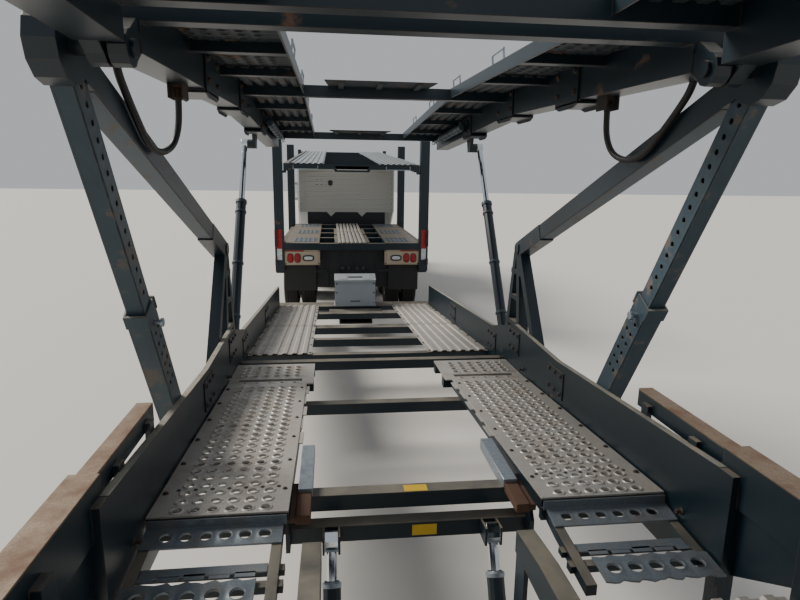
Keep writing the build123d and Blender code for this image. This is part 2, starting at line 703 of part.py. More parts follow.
# The head rack: two ribbed runways that rise over the cab, with a ladder between them
rack_runway_in = 460
rack_ribs = 6
with BuildPart() as head_rack:
    for side in (-1, 1):
        beam = sorted((side * rack_beam_in, side * rack_beam_out))
        side_plate(band(rack_line, rack_deep), *beam)
        track = sorted((side * rack_runway_in, side * rack_beam_in))
        side_plate(band(rack_line, plate_thick), *track)
        lip = sorted((side * rack_runway_in, side * (rack_runway_in + plate_thick)))
        side_plate(band(lowered(rack_line, plate_thick), 70), *lip)
        for rib in range(rack_ribs):
            rib_x = rack_runway_in + 30 + rib * 94
            side_plate(band(raised(rack_line, rib_high), rib_high),
                       *sorted((side * rib_x, side * (rib_x + rib_wide))))
    for bar_y in (3820, 5200, 6600, 8000, 9400, 10800, 11700):
        top = height_on(rack_line, bar_y) - plate_thick
        brick(-rack_beam_in, rack_beam_in, bar_y - 40, bar_y + 40, top - 80, top)
    for slat in range(12):
        slat_y = 4200 + slat * 450
        top = height_on(rack_line, slat_y)
        brick(-rack_runway_in, rack_runway_in, slat_y - 35, slat_y + 35, top - 30, top)
    for side in (-1, 1):
        bore(rack_pivot, *sorted((side * 1030, side * 1130)), pin_radius + pin_clearance)
finish(head_rack, "head_rack")

# Rear of the tractor: lamp boxes with a raised panel, lamps and mud flaps
lamp_box_low = 1010
with BuildPart() as lamp_boxes:
    for side in (-1, 1):
        brick(*sorted((side * 550, side * 1140)), tractor_rear + 15, tractor_rear + 90,
              lamp_box_low, deck_under)
        panel = [(580, 1045), (605, 1020), (1085, 1020), (1110, 1045), (1110, 1215), (1085, 1240),
                 (605, 1240), (580, 1215)]
        cross_plate([(side * x, z) for x, z in panel], tractor_rear + 5, tractor_rear + 15)
finish(lamp_boxes, "lamp_boxes")

with BuildPart() as tractor_lamps:
    for side in (-1, 1):
        for lamp_x in (1040, 920):
            plane = Plane(origin=(side * lamp_x, tractor_rear + 5, 1130), x_dir=(1, 0, 0),
                          z_dir=(0, -1, 0))
            with BuildSketch(plane) as oval:
                Polygon((-45, -45), (-28, -72), (28, -72), (45, -45), (45, 45), (28, 72),
                        (-28, 72), (-45, 45), align=None)
            extrude(oval.sketch, amount=20)
finish(tractor_lamps, "tractor_lamps")

with BuildPart() as tractor_flaps:
    for side in (-1, 1):
        flap = sorted((side * 620, side * 1140))
        brick(*flap, tractor_rear + 92, tractor_rear + 104, 560, deck_under)
finish(tractor_flaps, "tractor_flaps")

# Legs of the pedestal: foot, head, width
pedestal_legs = [
    ((-1640, 1005), pedestal_apex, 70),
    ((-1250, 1005), (-1440, 1880), 70),
    ((-2150, 1005), pedestal_apex, 80),
]
rear_post_ys = (-9900, -9300)
rear_post_top = 3200

# Trailer: side rails, cross tubes, nose and rear frame in one welding
nose_low = 465
cross_tubes = [
    # y, top z
    (-2120, 850), (-1240, 900),
    (-810, seat_height(ribbed_lines[0], -810, tube / 2)),
    (-40, seat_height(ribbed_lines[0], -40, tube / 2)),
    (720, seat_height(ribbed_lines[0], 720, tube / 2)),
    (835, seat_height(ribbed_lines[1], 835, tube / 2)),
    (1915, seat_height(ribbed_lines[1], 1915, tube / 2)),
    (2035, seat_height(ribbed_lines[2], 2035, tube / 2)),
]
junction_tube_ys = (-1860, -1480)
rear_tubes = [-11950, -10600, -9300, -8200, -6650, -4760]
with BuildPart() as trailer_frame:
    for side in (-1, 1):
        web = sorted((side * rail_in, side * (rail_in + rail_wall)))
        flange = sorted((side * rail_in, side * rail_out))
        side_plate(rail_line + rail_foot_line[::-1], *web)
        side_plate(band(rail_line, rail_wall), *flange)
        side_plate(band(raised(rail_foot_line, rail_wall), rail_wall), *flange)
        outer = sorted((side * rail_out, side * half_width))
        side_plate(band(rear_rail_line, 200), *outer)
        post = sorted((side * rail_in, side * (rail_in + 60)))
        brick(*post, -4380, -4300, 700, 1386)
        for bar_y in rear_tubes:
            top = seat_height(rear_deck_line, bar_y, tube / 2)
            rail_top = height_on(rear_rail_line, bar_y)
            reach = sorted((side * rail_out, side * (runway_out + 2)))
            brick(*reach, bar_y - 40, bar_y + 40, top - 80, rail_top - 60)
    for bar_y, top in cross_tubes:
        cross_bar(bar_y, top, -rail_in - rail_wall, rail_in + rail_wall)
    for bar_y in rear_tubes:
        cross_bar(bar_y, seat_height(rear_deck_line, bar_y, tube / 2), -rail_out, rail_out)
    brick(-1185, 1185, 2660, 2980, nose_low, nose_low + 65)
    brick(-400, 400, 2350, 2660, nose_low, nose_low + 25)
    for side in (-1, 1):
        spine = sorted((side * 420, side * 500))
        side_plate([(-12000, 820), (-12000, 700), (-8200, 900), (-4060, 900), (-4060, 1000),
                    (-4340, 1032), (-8200, 1100)], *spine)
    with BuildSketch(Plane.XY.offset(stinger_low + 10)) as pin_face:
        with Locations((0, hitch_y)):
            Circle(hitch_pin_radius)
    extrude(pin_face.sketch, amount=nose_low - stinger_low - 10)
    for side in (-1, 1):
        # Pedestal of the swing arm, standing on the rail
        across = sorted((side * arm_in, side * (arm_out - 20)))
        foot_plate = sorted((side * (rail_in + rail_wall), side * (arm_out - 20)))
        brick(*foot_plate, -2200, -1200, 1000, 1012)
        for start, end, deep in pedestal_legs:
            strut(start, end, *across, deep)
        for rung_z in (1250, 1480, 1700):
            brick(*across, -1600, -1350, rung_z, rung_z + 40)
        # Posts that guide the rear bed, and the ears of its cylinders
        across = sorted((side * arm_in, side * arm_out))
        for post_y in rear_post_ys:
            foot_z = height_on(rear_rail_line, post_y - 50) - 20
            brick(*across, post_y - 50, post_y + 50, foot_z, rear_post_top)
        brick(*across, rear_post_ys[0], rear_post_ys[1], rear_post_top - 100, rear_post_top)
        for ear_x in ((rail_out, 1195), (1281, half_width)):
            ear = sorted((side * ear_x[0], side * ear_x[1]))
            brick(*ear, rear_lift_foot[0] - 60, rear_lift_foot[0] + 60, 1300, 1570)
        pin(rear_lift_foot, *sorted((side * 1190, side * 1285)), pin_radius)
        pin(front_lift_foot, *sorted((side * (rail_in + 4), side * 1275)), pin_radius)
        pin(lower_lift_foot, *sorted((side * 345, side * 428)), pin_radius)
        hanger = sorted((side * 426, side * 446))
        brick(*hanger, -4170, -4060, 290, 905)
        # Outriggers under the junction plate, with the ears of the lower bed's hinge
        outrigger = sorted((side * 511, side * (rail_in + 4)))
        for bar_y in junction_tube_ys:
            cross_bar(bar_y, seat_height(junction_line, bar_y, tube / 2), *outrigger)
        for ear_x in ((586, 598), (642, 654)):
            ear = sorted((side * ear_x[0], side * ear_x[1]))
            brick(*ear, bed_hinge[0] - 35, -1890, bed_hinge[1] - 32, bed_hinge[1] + 32)
        pin(bed_hinge, *sorted((side * 586, side * 654)), hinge_pin)
        # Boss that takes the foot of the pinned post
        boss(post_foot, *sorted((side * (rail_in + 4), side * arm_in)), 40)
        # Hanger of the mud flap
        brick(*sorted((side * 430, side * 1240)), -7888, -7850, 960, 1040)
    brick(-1240, 1240, -12140, -11990, 700, 820)
finish(trailer_frame, "trailer_frame")

with BuildPart() as hitch_housing:
    side_plate([(2660, nose_low + 65), (2980, nose_low + 65), (2980, 960), (2860, 1000),
                (2680, 930)], -310, 310)
finish(hitch_housing, "hitch_housing")

# Sheets with holes: the main plates, the folded flange and step plate at their near end,
# and the plate over the junction. Holes are four-sided.
hole_half = 21
main_holes = dict(columns=6, rows=24, pitch_x=75, pitch_y=80, first_x=658, first_y=-3930)


def sheet_plane(line, x_mid):
    """Plane on the middle of a straight deck line, its own y along the line."""
    (y_a, z_a), (y_b, z_b) = line
    normal = Vector(0, z_a - z_b, y_b - y_a)
    return Plane(origin=(x_mid, (y_a + y_b) / 2, (z_a + z_b) / 2), x_dir=(1, 0, 0), z_dir=normal)


def pierced_sheet(line, side, x_in, x_out, spots, radius, slots=()):
    """Sheet on a straight deck line, pierced at (x, y) spots and by (x, y, length) slots."""
    y_mid = (line[0][0] + line[1][0]) / 2
    x_mid = (x_in + x_out) / 2
    run = Vector(0, line[1][0] - line[0][0], line[1][1] - line[0][1]).length
    plane = sheet_plane(line, side * x_mid)
    with BuildSketch(plane) as face:
        Rectangle(x_out - x_in, run)
        with Locations(*[(side * (x - x_mid), y - y_mid) for x, y in spots]):
            RegularPolygon(radius, 4, rotation=45, major_radius=False, mode=Mode.SUBTRACT)
        for x, y, length in slots:
            with Locations((side * (x - x_mid), y - y_mid)):
                Rectangle(length, 45, mode=Mode.SUBTRACT)
    extrude(face.sketch, amount=-plate_thick * plane.z_dir.Z)


def hole_grid(columns, rows, pitch_x, pitch_y, first_x, first_y):
    return [(first_x + column * pitch_x, first_y + row * pitch_y)
            for column in range(columns) for row in range(rows)]


# The near end: a flange below the plate's edge, then an open frame with a step plate
flange_line = [(-4095, 1032), (-3982, 1050)]
step_line = [(-4425, 1002), (-4290, 1014)]
near_frame_line = [(-4425, 994), (-4290, 1006), (-4095, 1024), (-3982, 1042), (-3970, 1044)]
bed_out = runway_out - 5
with BuildPart() as main_plates:
    for side in (-1, 1):
        pierced_sheet(main_plate_line, side, runway_in, bed_out, hole_grid(**main_holes), hole_half)
        flange_holes = hole_grid(6, 1, 80, 0, 652, -4038)
        pierced_sheet(flange_line, side, runway_in + 20, bed_out, flange_holes, 24)
        step_holes = hole_grid(5, 1, 88, 0, 720, -4357)
        pierced_sheet(step_line, side, runway_in + 100, bed_out, step_holes, 27)
finish(main_plates, "main_plates")


def runway(line, x_in, x_out):
    """A pair of plain deck plates."""
    for side in (-1, 1):
        side_plate(band(line, plate_thick), *sorted((side * x_in, side * x_out)))


junction_in = 511
junction_holes = hole_grid(6, 3, 82, 78, 640, -1770)
deck_ribs = 6
rib_pitch = 92
rib_setback = 20
with BuildPart() as deck_plates:
    for side in (-1, 1):
        pierced_sheet(junction_line, side, junction_in, runway_out, junction_holes, 26,
                      [(845, -1880, 440)])
    for line in ribbed_lines:
        runway(line, runway_in, runway_out)
        for side in (-1, 1):
            run = Vector(0, line[1][0] - line[0][0], line[1][1] - line[0][1]).length
            with BuildSketch(sheet_plane(line, side * (runway_in + runway_out) / 2)) as ribs:
                with GridLocations(rib_pitch, 0, deck_ribs, 1):
                    Rectangle(rib_wide, run - 2 * rib_setback)
            extrude(ribs.sketch, amount=rib_high)
    runway(rear_deck_line, runway_in, runway_out)
finish(deck_plates, "deck_plates")

# Lower bed: the frame under the main plates, hinged at its front end and lifted at its rear
bed_lip = 60
gusset_in = runway_in + plate_thick
upper_bar = (-3665, 1004)
lower_bar = (-3730, 880)
with BuildPart() as lower_bed:
    under_line = lowered(main_plate_line, plate_thick)
    for side in (-1, 1):
        for lip_x in (runway_in, bed_out - plate_thick):
            lip = sorted((side * lip_x, side * (lip_x + plate_thick)))
            side_plate(band(under_line, bed_lip), *lip)
        inside = sorted((side * (runway_in + plate_thick), side * (bed_out - plate_thick)))
        for bar_y in (-3940, -3450, -2900, -2200):
            top = seat_height(main_plate_line, bar_y, 30)
            brick(*inside, bar_y - 30, bar_y + 30, top - 44, top)
        # Gusset that carries the two cross bars
        side_plate([(-3830, 795), (-3830, 890), (-3720, 1062), (-3560, 1050), (-3600, 1000),
                    (-3700, 795)], *sorted((side * gusset_in, side * (gusset_in + 20))))
        # Open frame of the near end: side bars, a rung and the edge that holds the step plate
        for bar_x in ((runway_in + 20, runway_in + 62), (bed_out - 42, bed_out)):
            across = sorted((side * bar_x[0], side * bar_x[1]))
            side_plate(band(near_frame_line, 45), *across)
        reach = sorted((side * runway_in, side * bed_out))
        brick(*reach, -3980, -3950, 990, 1052)
        brick(*reach, -4230, -4190, 975, 1000)
        brick(*reach, -4320, -4280, 968, 998)
        for ear_x in ((lower_lift_x - eye_half - 11, lower_lift_x - eye_half - 1),
                      (lower_lift_x + eye_half + 1, lower_lift_x + eye_half + 11)):
            side_plate([(-3770, 800), (-3770, 880), (-3870, 890), (-3870, 800)],
                       *sorted((side * ear_x[0], side * ear_x[1])))
        lug = sorted((side * 600, side * 640))
        strut((-2200, 905), bed_hinge, *lug, 60)
        boss(bed_hinge, *lug, 32)
        bore(bed_hinge, *lug, hinge_pin + pin_clearance)
    for bar_y, bar_top in (upper_bar, lower_bar):
        cross_bar(bar_y, bar_top, -gusset_in - 20, gusset_in + 20)
finish(lower_bed, "lower_bed")

with BuildPart() as swing_arms:
    for side in (-1, 1):
        across = sorted((side * arm_in, side * arm_out))
        strut(along(pedestal_apex, head_pivot, 0.04), along(pedestal_apex, head_pivot, 0.97),
              *across, 110)
        boss(head_pivot, *across, 120)
        pin(head_pivot, *sorted((side * (beam_in - 10), side * (arm_in + 20))), pin_radius)
    add(trailer_frame.part, mode=Mode.SUBTRACT)
finish(swing_arms, "swing_arms")

# Telescoping posts: a tube, pinned in a wider sleeve with a collar at its mouth
sleeve_end = along(post_foot, head_pivot, 0.42)
collar_start = along(post_foot, head_pivot, 0.385)
with BuildPart() as pinned_posts:
    for side in (-1, 1):
        across = sorted((side * arm_in, side * arm_out))
        strut(post_foot, sleeve_end, *across, 130)
        strut(collar_start, sleeve_end, *across, 150)
        across = sorted((side * (arm_in + 10), side * (arm_out - 10)))
        strut(sleeve_end, along(post_foot, head_pivot, 0.99), *across, 100)
    add(swing_arms.part, mode=Mode.SUBTRACT)
    add(trailer_frame.part, mode=Mode.SUBTRACT)
finish(pinned_posts, "pinned_posts")


# How far the top of a bar is let into the sloping plate that it carries
weld_depth = 5


def bed_frame(line, through_bars, runway_bars, centre_plates):
    """Upper bed: side beams, ribbed runways, bars from beam to beam and bars under a runway."""
    for side in (-1, 1):
        beam = sorted((side * beam_in, side * beam_out))
        side_plate(band(line, beam_deep), *beam)
        track = sorted((side * upper_runway_in, side * beam_in))
        side_plate(band(line, plate_thick), *track)
        lip = sorted((side * upper_runway_in, side * (upper_runway_in + plate_thick)))
        side_plate(band(lowered(line, plate_thick), 60), *lip)
        inside = sorted((side * (upper_runway_in + plate_thick), side * beam_in))
        for bar_y in runway_bars:
            top = seat_height(line, bar_y, 30) + weld_depth
            brick(*inside, bar_y - 30, bar_y + 30, top - 57, top)
    for bar_y in through_bars:
        top = seat_height(line, bar_y, 38) + weld_depth
        brick(-beam_in, beam_in, bar_y - 38, bar_y + 38, top - 81, top)
    for plate_y, reach in centre_plates:
        top = seat_height(line, plate_y, 38) + weld_depth
        plan_plate([(-300, plate_y), (300, plate_y), (370, plate_y + reach),
                    (-370, plate_y + reach)], top, top + plate_thick)


def bed_lug(end_y, x_low, x_high):
    """Ear at the end of a bed's beam, bored for the head pin."""
    for side in (-1, 1):
        ear = sorted((side * x_low, side * x_high))
        strut((end_y, 2960), head_pivot, *ear, 110)
        boss(head_pivot, *ear, 60)
        bore(head_pivot, *ear, pin_radius + pin_clearance)


def eye_bracket(line, eye):
    """Plate that hangs below a side beam and carries a cylinder's eye on its outer face."""
    under = height_on(line, eye[0]) - beam_deep + 30
    for side in (-1, 1):
        side_plate([(eye[0] - 110, under), (eye[0] - 50, eye[1] - 45), (eye[0] + 50, eye[1] - 45),
                    (eye[0] + 110, under)], *sorted((side * (beam_out - 30), side * beam_out)))
        boss(eye, *sorted((side * (beam_out - 5), side * (lift_x - eye_half - side_gap))), 45)


with BuildPart() as front_bed:
    bed_frame(front_bed_line, (-4022, -1600, 1412), (-3300, -2500, -800, 0, 800),
              ((-1600, 340), (1412, -340)))
    bed_lug(-4060, beam_in + 5, beam_in + 65)
    eye_bracket(front_bed_line, front_lift_eye)
finish(front_bed, "front_bed")

with BuildPart() as rear_bed:
    bed_frame(rear_bed_line, (-12112, -8000, -4278), (-11000, -9900, -8900, -7000, -6000, -5100),
              ((-8000, 340),))
    bed_lug(-4240, beam_in + 75, beam_in + 135)
    eye_bracket(rear_bed_line, rear_lift_eye)
finish(rear_bed, "rear_bed")

# Lift cylinders: name, foot, eye, x of the middle, barrel length, barrel radius,
# start of the rod inside the barrel, rod radius
lift_table = [
    ("front_lift", front_lift_foot, front_lift_eye, lift_x, 1400, 46, 700, 28),
    ("rear_lift", rear_lift_foot, rear_lift_eye, lift_x, 830, 40, 580, 28),
    ("lower_lift", lower_lift_foot, lower_lift_eye, lower_lift_x, 410, 40, 235, 24),
]
eye_radius = 45
foot_radius = 48
bore_start = 100


def toward(start, end, distance):
    """Point at a distance from one (y, z) point towards another."""
    length = ((end[0] - start[0])**2 + (end[1] - start[1])**2) ** 0.5
    return along(start, end, distance / length)


for name, foot, eye, x_mid, barrel_end, barrel_radius, rod_start, rod_radius in lift_table:
    with BuildPart() as barrels:
        for side in (-1, 1):
            x_here = side * x_mid
            across = (x_here - eye_half, x_here + eye_half)
            boss(foot, *across, foot_radius)
            bar_between(foot, toward(foot, eye, barrel_end), x_here, barrel_radius)
            bar_between(toward(foot, eye, bore_start), toward(foot, eye, barrel_end), x_here,
                        rod_radius + 1, Mode.SUBTRACT)
            bore(foot, x_here - barrel_radius - 5, x_here + barrel_radius + 5,
                 pin_radius + pin_clearance)
    finish(barrels, f"{name}_barrels")
    with BuildPart() as rods:
        for side in (-1, 1):
            x_here = side * x_mid
            bar_between(toward(foot, eye, rod_start), toward(eye, foot, 10), x_here, rod_radius)
            boss(eye, x_here - eye_half, x_here + eye_half, eye_radius)
    finish(rods, f"{name}_rods")

with BuildPart() as trailer_lamps:
    for side in (-1, 1):
        box = sorted((side * 700, side * 1180))
        brick(*box, rear_end, rear_end + 60, 700, 800)
finish(trailer_lamps, "trailer_lamps")

with BuildPart() as trailer_flaps:
    for side in (-1, 1):
        flap = sorted((side * 700, side * 1240))
        brick(*flap, -7900, -7888, 250, 1000)
finish(trailer_flaps, "trailer_flaps")
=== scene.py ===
import bpy
import bmesh
import json
import math
from mathutils import Matrix, Vector


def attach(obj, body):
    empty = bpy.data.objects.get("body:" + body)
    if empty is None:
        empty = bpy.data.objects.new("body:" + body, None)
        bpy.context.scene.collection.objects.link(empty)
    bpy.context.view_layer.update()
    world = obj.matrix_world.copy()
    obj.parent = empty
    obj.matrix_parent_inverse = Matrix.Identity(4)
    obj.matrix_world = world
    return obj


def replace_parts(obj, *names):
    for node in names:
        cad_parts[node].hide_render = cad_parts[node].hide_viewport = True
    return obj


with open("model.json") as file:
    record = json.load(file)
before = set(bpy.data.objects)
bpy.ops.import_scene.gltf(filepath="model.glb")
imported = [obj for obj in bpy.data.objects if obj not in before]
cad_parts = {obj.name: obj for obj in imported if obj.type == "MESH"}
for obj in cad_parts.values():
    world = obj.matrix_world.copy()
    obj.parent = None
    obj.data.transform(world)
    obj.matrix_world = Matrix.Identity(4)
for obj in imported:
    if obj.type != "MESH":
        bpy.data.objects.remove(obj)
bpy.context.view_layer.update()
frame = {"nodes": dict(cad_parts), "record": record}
cadNodes = frame["nodes"]
print("frame loaded:", len(cadNodes), "nodes")


def addToScene(name, data):
    made = bpy.data.objects.new(name, data)
    bpy.context.scene.collection.objects.link(made)
    return made


# Camera: it stands on the trailer's rear deck and looks forward and down
cameraSetup = {
    "place": (-0.368, -6.3, 2.5),   # metres
    "turnedRight": 6.76,            # degrees
    "lookingDown": 11.78,
    "roll": 0.75,
    "focalLength": 26.64,           # mm, on a sensor of the width below
    "sensor": 36,
    "clip": (0.05, 300),            # metres
}


def placeCamera(setup):
    yaw, pitch, roll = (math.radians(setup[key]) for key in ("turnedRight", "lookingDown", "roll"))
    forward = Vector((math.sin(yaw) * math.cos(pitch), math.cos(yaw) * math.cos(pitch), -math.sin(pitch)))
    level = Vector((math.cos(yaw), -math.sin(yaw), 0))
    upward = level.cross(forward)
    right = level * math.cos(roll) + upward * math.sin(roll)
    up = upward * math.cos(roll) - level * math.sin(roll)
    lens = bpy.data.cameras.new("photoCamera")
    lens.lens, lens.sensor_width = setup["focalLength"], setup["sensor"]
    lens.clip_start, lens.clip_end = setup["clip"]
    camera = addToScene("photoCamera", lens)
    columns = Matrix((right, up, -forward)).transposed().to_4x4()
    camera.matrix_world = Matrix.Translation(setup["place"]) @ columns
    bpy.context.scene.camera = camera


placeCamera(cameraSetup)
print("camera placed")


# Colours are sRGB hex values
def fromHex(text):
    channels = [int(text[i:i + 2], 16) / 255 for i in (1, 3, 5)]
    return tuple(c / 12.92 if c <= 0.04045 else ((c + 0.055) / 1.055) ** 2.4 for c in channels) + (1.0,)


# Inputs are listed in order or by name, and each is a value or another node's socket
def feed(tree, node, inputs):
    for name, value in enumerate(inputs) if isinstance(inputs, list) else inputs.items():
        if isinstance(value, bpy.types.NodeSocket):
            tree.links.new(value, node.inputs[name])
        else:
            node.inputs[name].default_value = value


# give is the output that comes back, or None for the node itself
def addNode(tree, kind, inputs, give=0, **settings):
    made = tree.nodes.new(kind)
    for name, value in settings.items():
        setattr(made, name, value)
    feed(tree, made, inputs)
    return made if give is None else made.outputs[give]


def perMetre(millimetres):
    return 1000 / millimetres       # texture scale for a pattern of that size


def startMaterial(name, **values):
    material = bpy.data.materials.new(name)
    material.use_nodes = True
    tree = material.node_tree
    tree.nodes.clear()
    shader = addNode(tree, "ShaderNodeBsdfPrincipled", values, None)
    addNode(tree, "ShaderNodeOutputMaterial", {"Surface": shader.outputs["BSDF"]}, None)
    return material, tree, shader


# Shared by the opaque finishes: patches and grain at their sizes in mm, and edges rounded to the eye
def startFinish(name, look, patchNoise, grainDetail, deep, **values):
    material, tree, shader = startMaterial(name, **values)
    place = addNode(tree, "ShaderNodeTexCoord", {}, "Object")
    drawn = place
    if "stretch" in look:
        drawn = addNode(tree, "ShaderNodeMapping", {"Vector": place, "Scale": look["stretch"]})
    patches = addNode(tree, "ShaderNodeTexNoise", {
        "Vector": place, "Scale": perMetre(look["patch"]), "Detail": patchNoise[0], "Roughness": patchNoise[1]})
    grain = addNode(tree, "ShaderNodeTexNoise", {
        "Vector": drawn, "Scale": perMetre(look["grain"]), "Detail": grainDetail})
    soft = addNode(tree, "ShaderNodeBevel", {"Radius": look["edge"] / 1000}, samples=3)
    relief = addNode(tree, "ShaderNodeBump", {
        "Height": grain, "Strength": look["relief"], "Distance": deep, "Normal": soft})
    feed(tree, shader, {"Normal": relief})
    return material, tree, shader, patches, grain, soft


# Sprayed and weathered steel. The paint is worn through at the corners, carries
# road dust where it faces up, and rusts in patches.
def paintedSteel(name, look):
    look = {"patch": 260, "grain": 9, "edge": 5, "relief": 0.12, "coat": 0.0,
            "rustDark": "#5a3522", "rustLight": "#8f6a4c", **look}
    material, tree, shader, patches, grain, soft = startFinish(
        name, look, (6.0, 0.62), 3.0, 0.002, **{"Coat Roughness": 0.3, "Coat Weight": look["coat"]})
    # Corners: where the rounded normal leaves the flat one, broken up by the grain
    flat = addNode(tree, "ShaderNodeNewGeometry", {}, "Normal")
    alike = addNode(tree, "ShaderNodeVectorMath", [soft, flat], "Value", operation="DOT_PRODUCT")
    corner = addNode(tree, "ShaderNodeMapRange", [alike, 0.995, 0.86, 0.0, 1.0])
    broken = addNode(tree, "ShaderNodeMath", [corner, grain], operation="MULTIPLY")
    rusted = addNode(tree, "ShaderNodeMapRange", [
        patches, look["rustFrom"], look["rustFrom"] + 0.06, 0.0, look["rust"]])
    wear = addNode(tree, "ShaderNodeMath", [broken, rusted], operation="MAXIMUM", use_clamp=True)
    normal = addNode(tree, "ShaderNodeTexCoord", {}, "Normal")
    facing = addNode(tree, "ShaderNodeSeparateXYZ", [normal], "Z")
    topFace = addNode(tree, "ShaderNodeMapRange", [facing, 0.6, 0.95, 0.0, look["dust"]])
    drifted = addNode(tree, "ShaderNodeMapRange", [patches, 0.3, 0.62, 0.35, 1.0])
    dust = addNode(tree, "ShaderNodeMath", [topFace, drifted], operation="MULTIPLY")
    paint, faded, dusty, dark, light = (fromHex(look[key]) for key in (
        "paint", "faded", "dusty", "rustDark", "rustLight"))
    bare = addNode(tree, "ShaderNodeMix", {0: grain, 6: dark, 7: light}, 2, data_type="RGBA")
    colour = paint
    for share, over in ((patches, faded), (dust, dusty), (wear, bare)):
        colour = addNode(tree, "ShaderNodeMix", {0: share, 6: colour, 7: over}, 2, data_type="RGBA")
    gloss = addNode(tree, "ShaderNodeMapRange", [wear, 0.0, 1.0, look["roughness"], 0.75])
    dull = addNode(tree, "ShaderNodeMath", [gloss, dust], operation="MAXIMUM", use_clamp=True)
    feed(tree, shader, {"Base Color": colour, "Roughness": dull})
    return material


# Bare metal that was rolled, drawn or cast: a metal with an oxide film, dirt and polished spots
def bareMetal(name, look):
    look = {"edge": 3, "relief": 0.15, "film": 1.0, **look}
    material, tree, shader, patches, grain, _ = startFinish(name, look, (7.0, 0.65), 4.0, 0.001)
    film = addNode(tree, "ShaderNodeMapRange", [patches, 0.42, 0.66, 0.0, look["film"]])
    dark, light, oxide = (fromHex(look[key]) for key in ("dark", "light", "oxide"))
    clean = addNode(tree, "ShaderNodeMix", {0: grain, 6: dark, 7: light}, 2, data_type="RGBA")
    coated = addNode(tree, "ShaderNodeMix", {0: film, 6: clean, 7: oxide}, 2, data_type="RGBA")
    gloss = addNode(tree, "ShaderNodeMapRange", [patches, 0.3, 0.7, *look["roughness"]])
    cleanMetal, coatedMetal = look["metallic"]
    metal = cleanMetal      # on the shader itself where the film doesn't change it
    if coatedMetal != cleanMetal:
        metal = addNode(tree, "ShaderNodeMapRange", [film, 0.0, 1.0, cleanMetal, coatedMetal])
    feed(tree, shader, {"Base Color": coated, "Roughness": gloss, "Metallic": metal})
    return material


# Rubber, plastic and vinyl: no metal, a fine skin and a film of dust
def mouldedSkin(name, look):
    look = {"grain": 3, "edge": 4, "relief": 0.2, **look}
    material, tree, shader, patches, *_ = startFinish(name, look, (5.0, 0.5), 2.0, 0.001)
    dark, light, dull = fromHex(look["dark"]), fromHex(look["light"]), look["roughness"]
    tint = addNode(tree, "ShaderNodeMix", {0: patches, 6: dark, 7: light}, 2, data_type="RGBA")
    gloss = addNode(tree, "ShaderNodeMapRange", [patches, 0.3, 0.7, dull - 0.08, dull + 0.08])
    feed(tree, shader, {"Base Color": tint, "Roughness": gloss})
    return material


waveLength = math.pi / 10       # of a wave texture at a scale of 1


# Glass and acrylic: the tint is in the colour, and dust dulls it in patches. prisms is their pitch in mm.
def clearSheet(name, look):
    material, tree, shader = startMaterial(name, **{
        "Base Color": fromHex(look["tint"]), "IOR": look["ior"], "Transmission Weight": look["clear"]})
    place = addNode(tree, "ShaderNodeTexCoord", {}, "Object")
    dust = addNode(tree, "ShaderNodeTexNoise", {"Vector": place, "Scale": perMetre(150), "Detail": 6.0})
    gloss = addNode(tree, "ShaderNodeMapRange", [
        dust, 0.35, 0.75, look["roughness"], look["roughness"] + 0.2])
    feed(tree, shader, {"Roughness": gloss})
    if "prisms" in look:
        # Prisms moulded in the back of the lens, run upright
        ribs = addNode(tree, "ShaderNodeTexWave", {
            "Vector": place, "Scale": waveLength * perMetre(look["prisms"])}, 1, bands_direction="X")
        relief = addNode(tree, "ShaderNodeBump", {"Height": ribs, "Strength": 0.5, "Distance": 0.003})
        feed(tree, shader, {"Normal": relief})
    return material


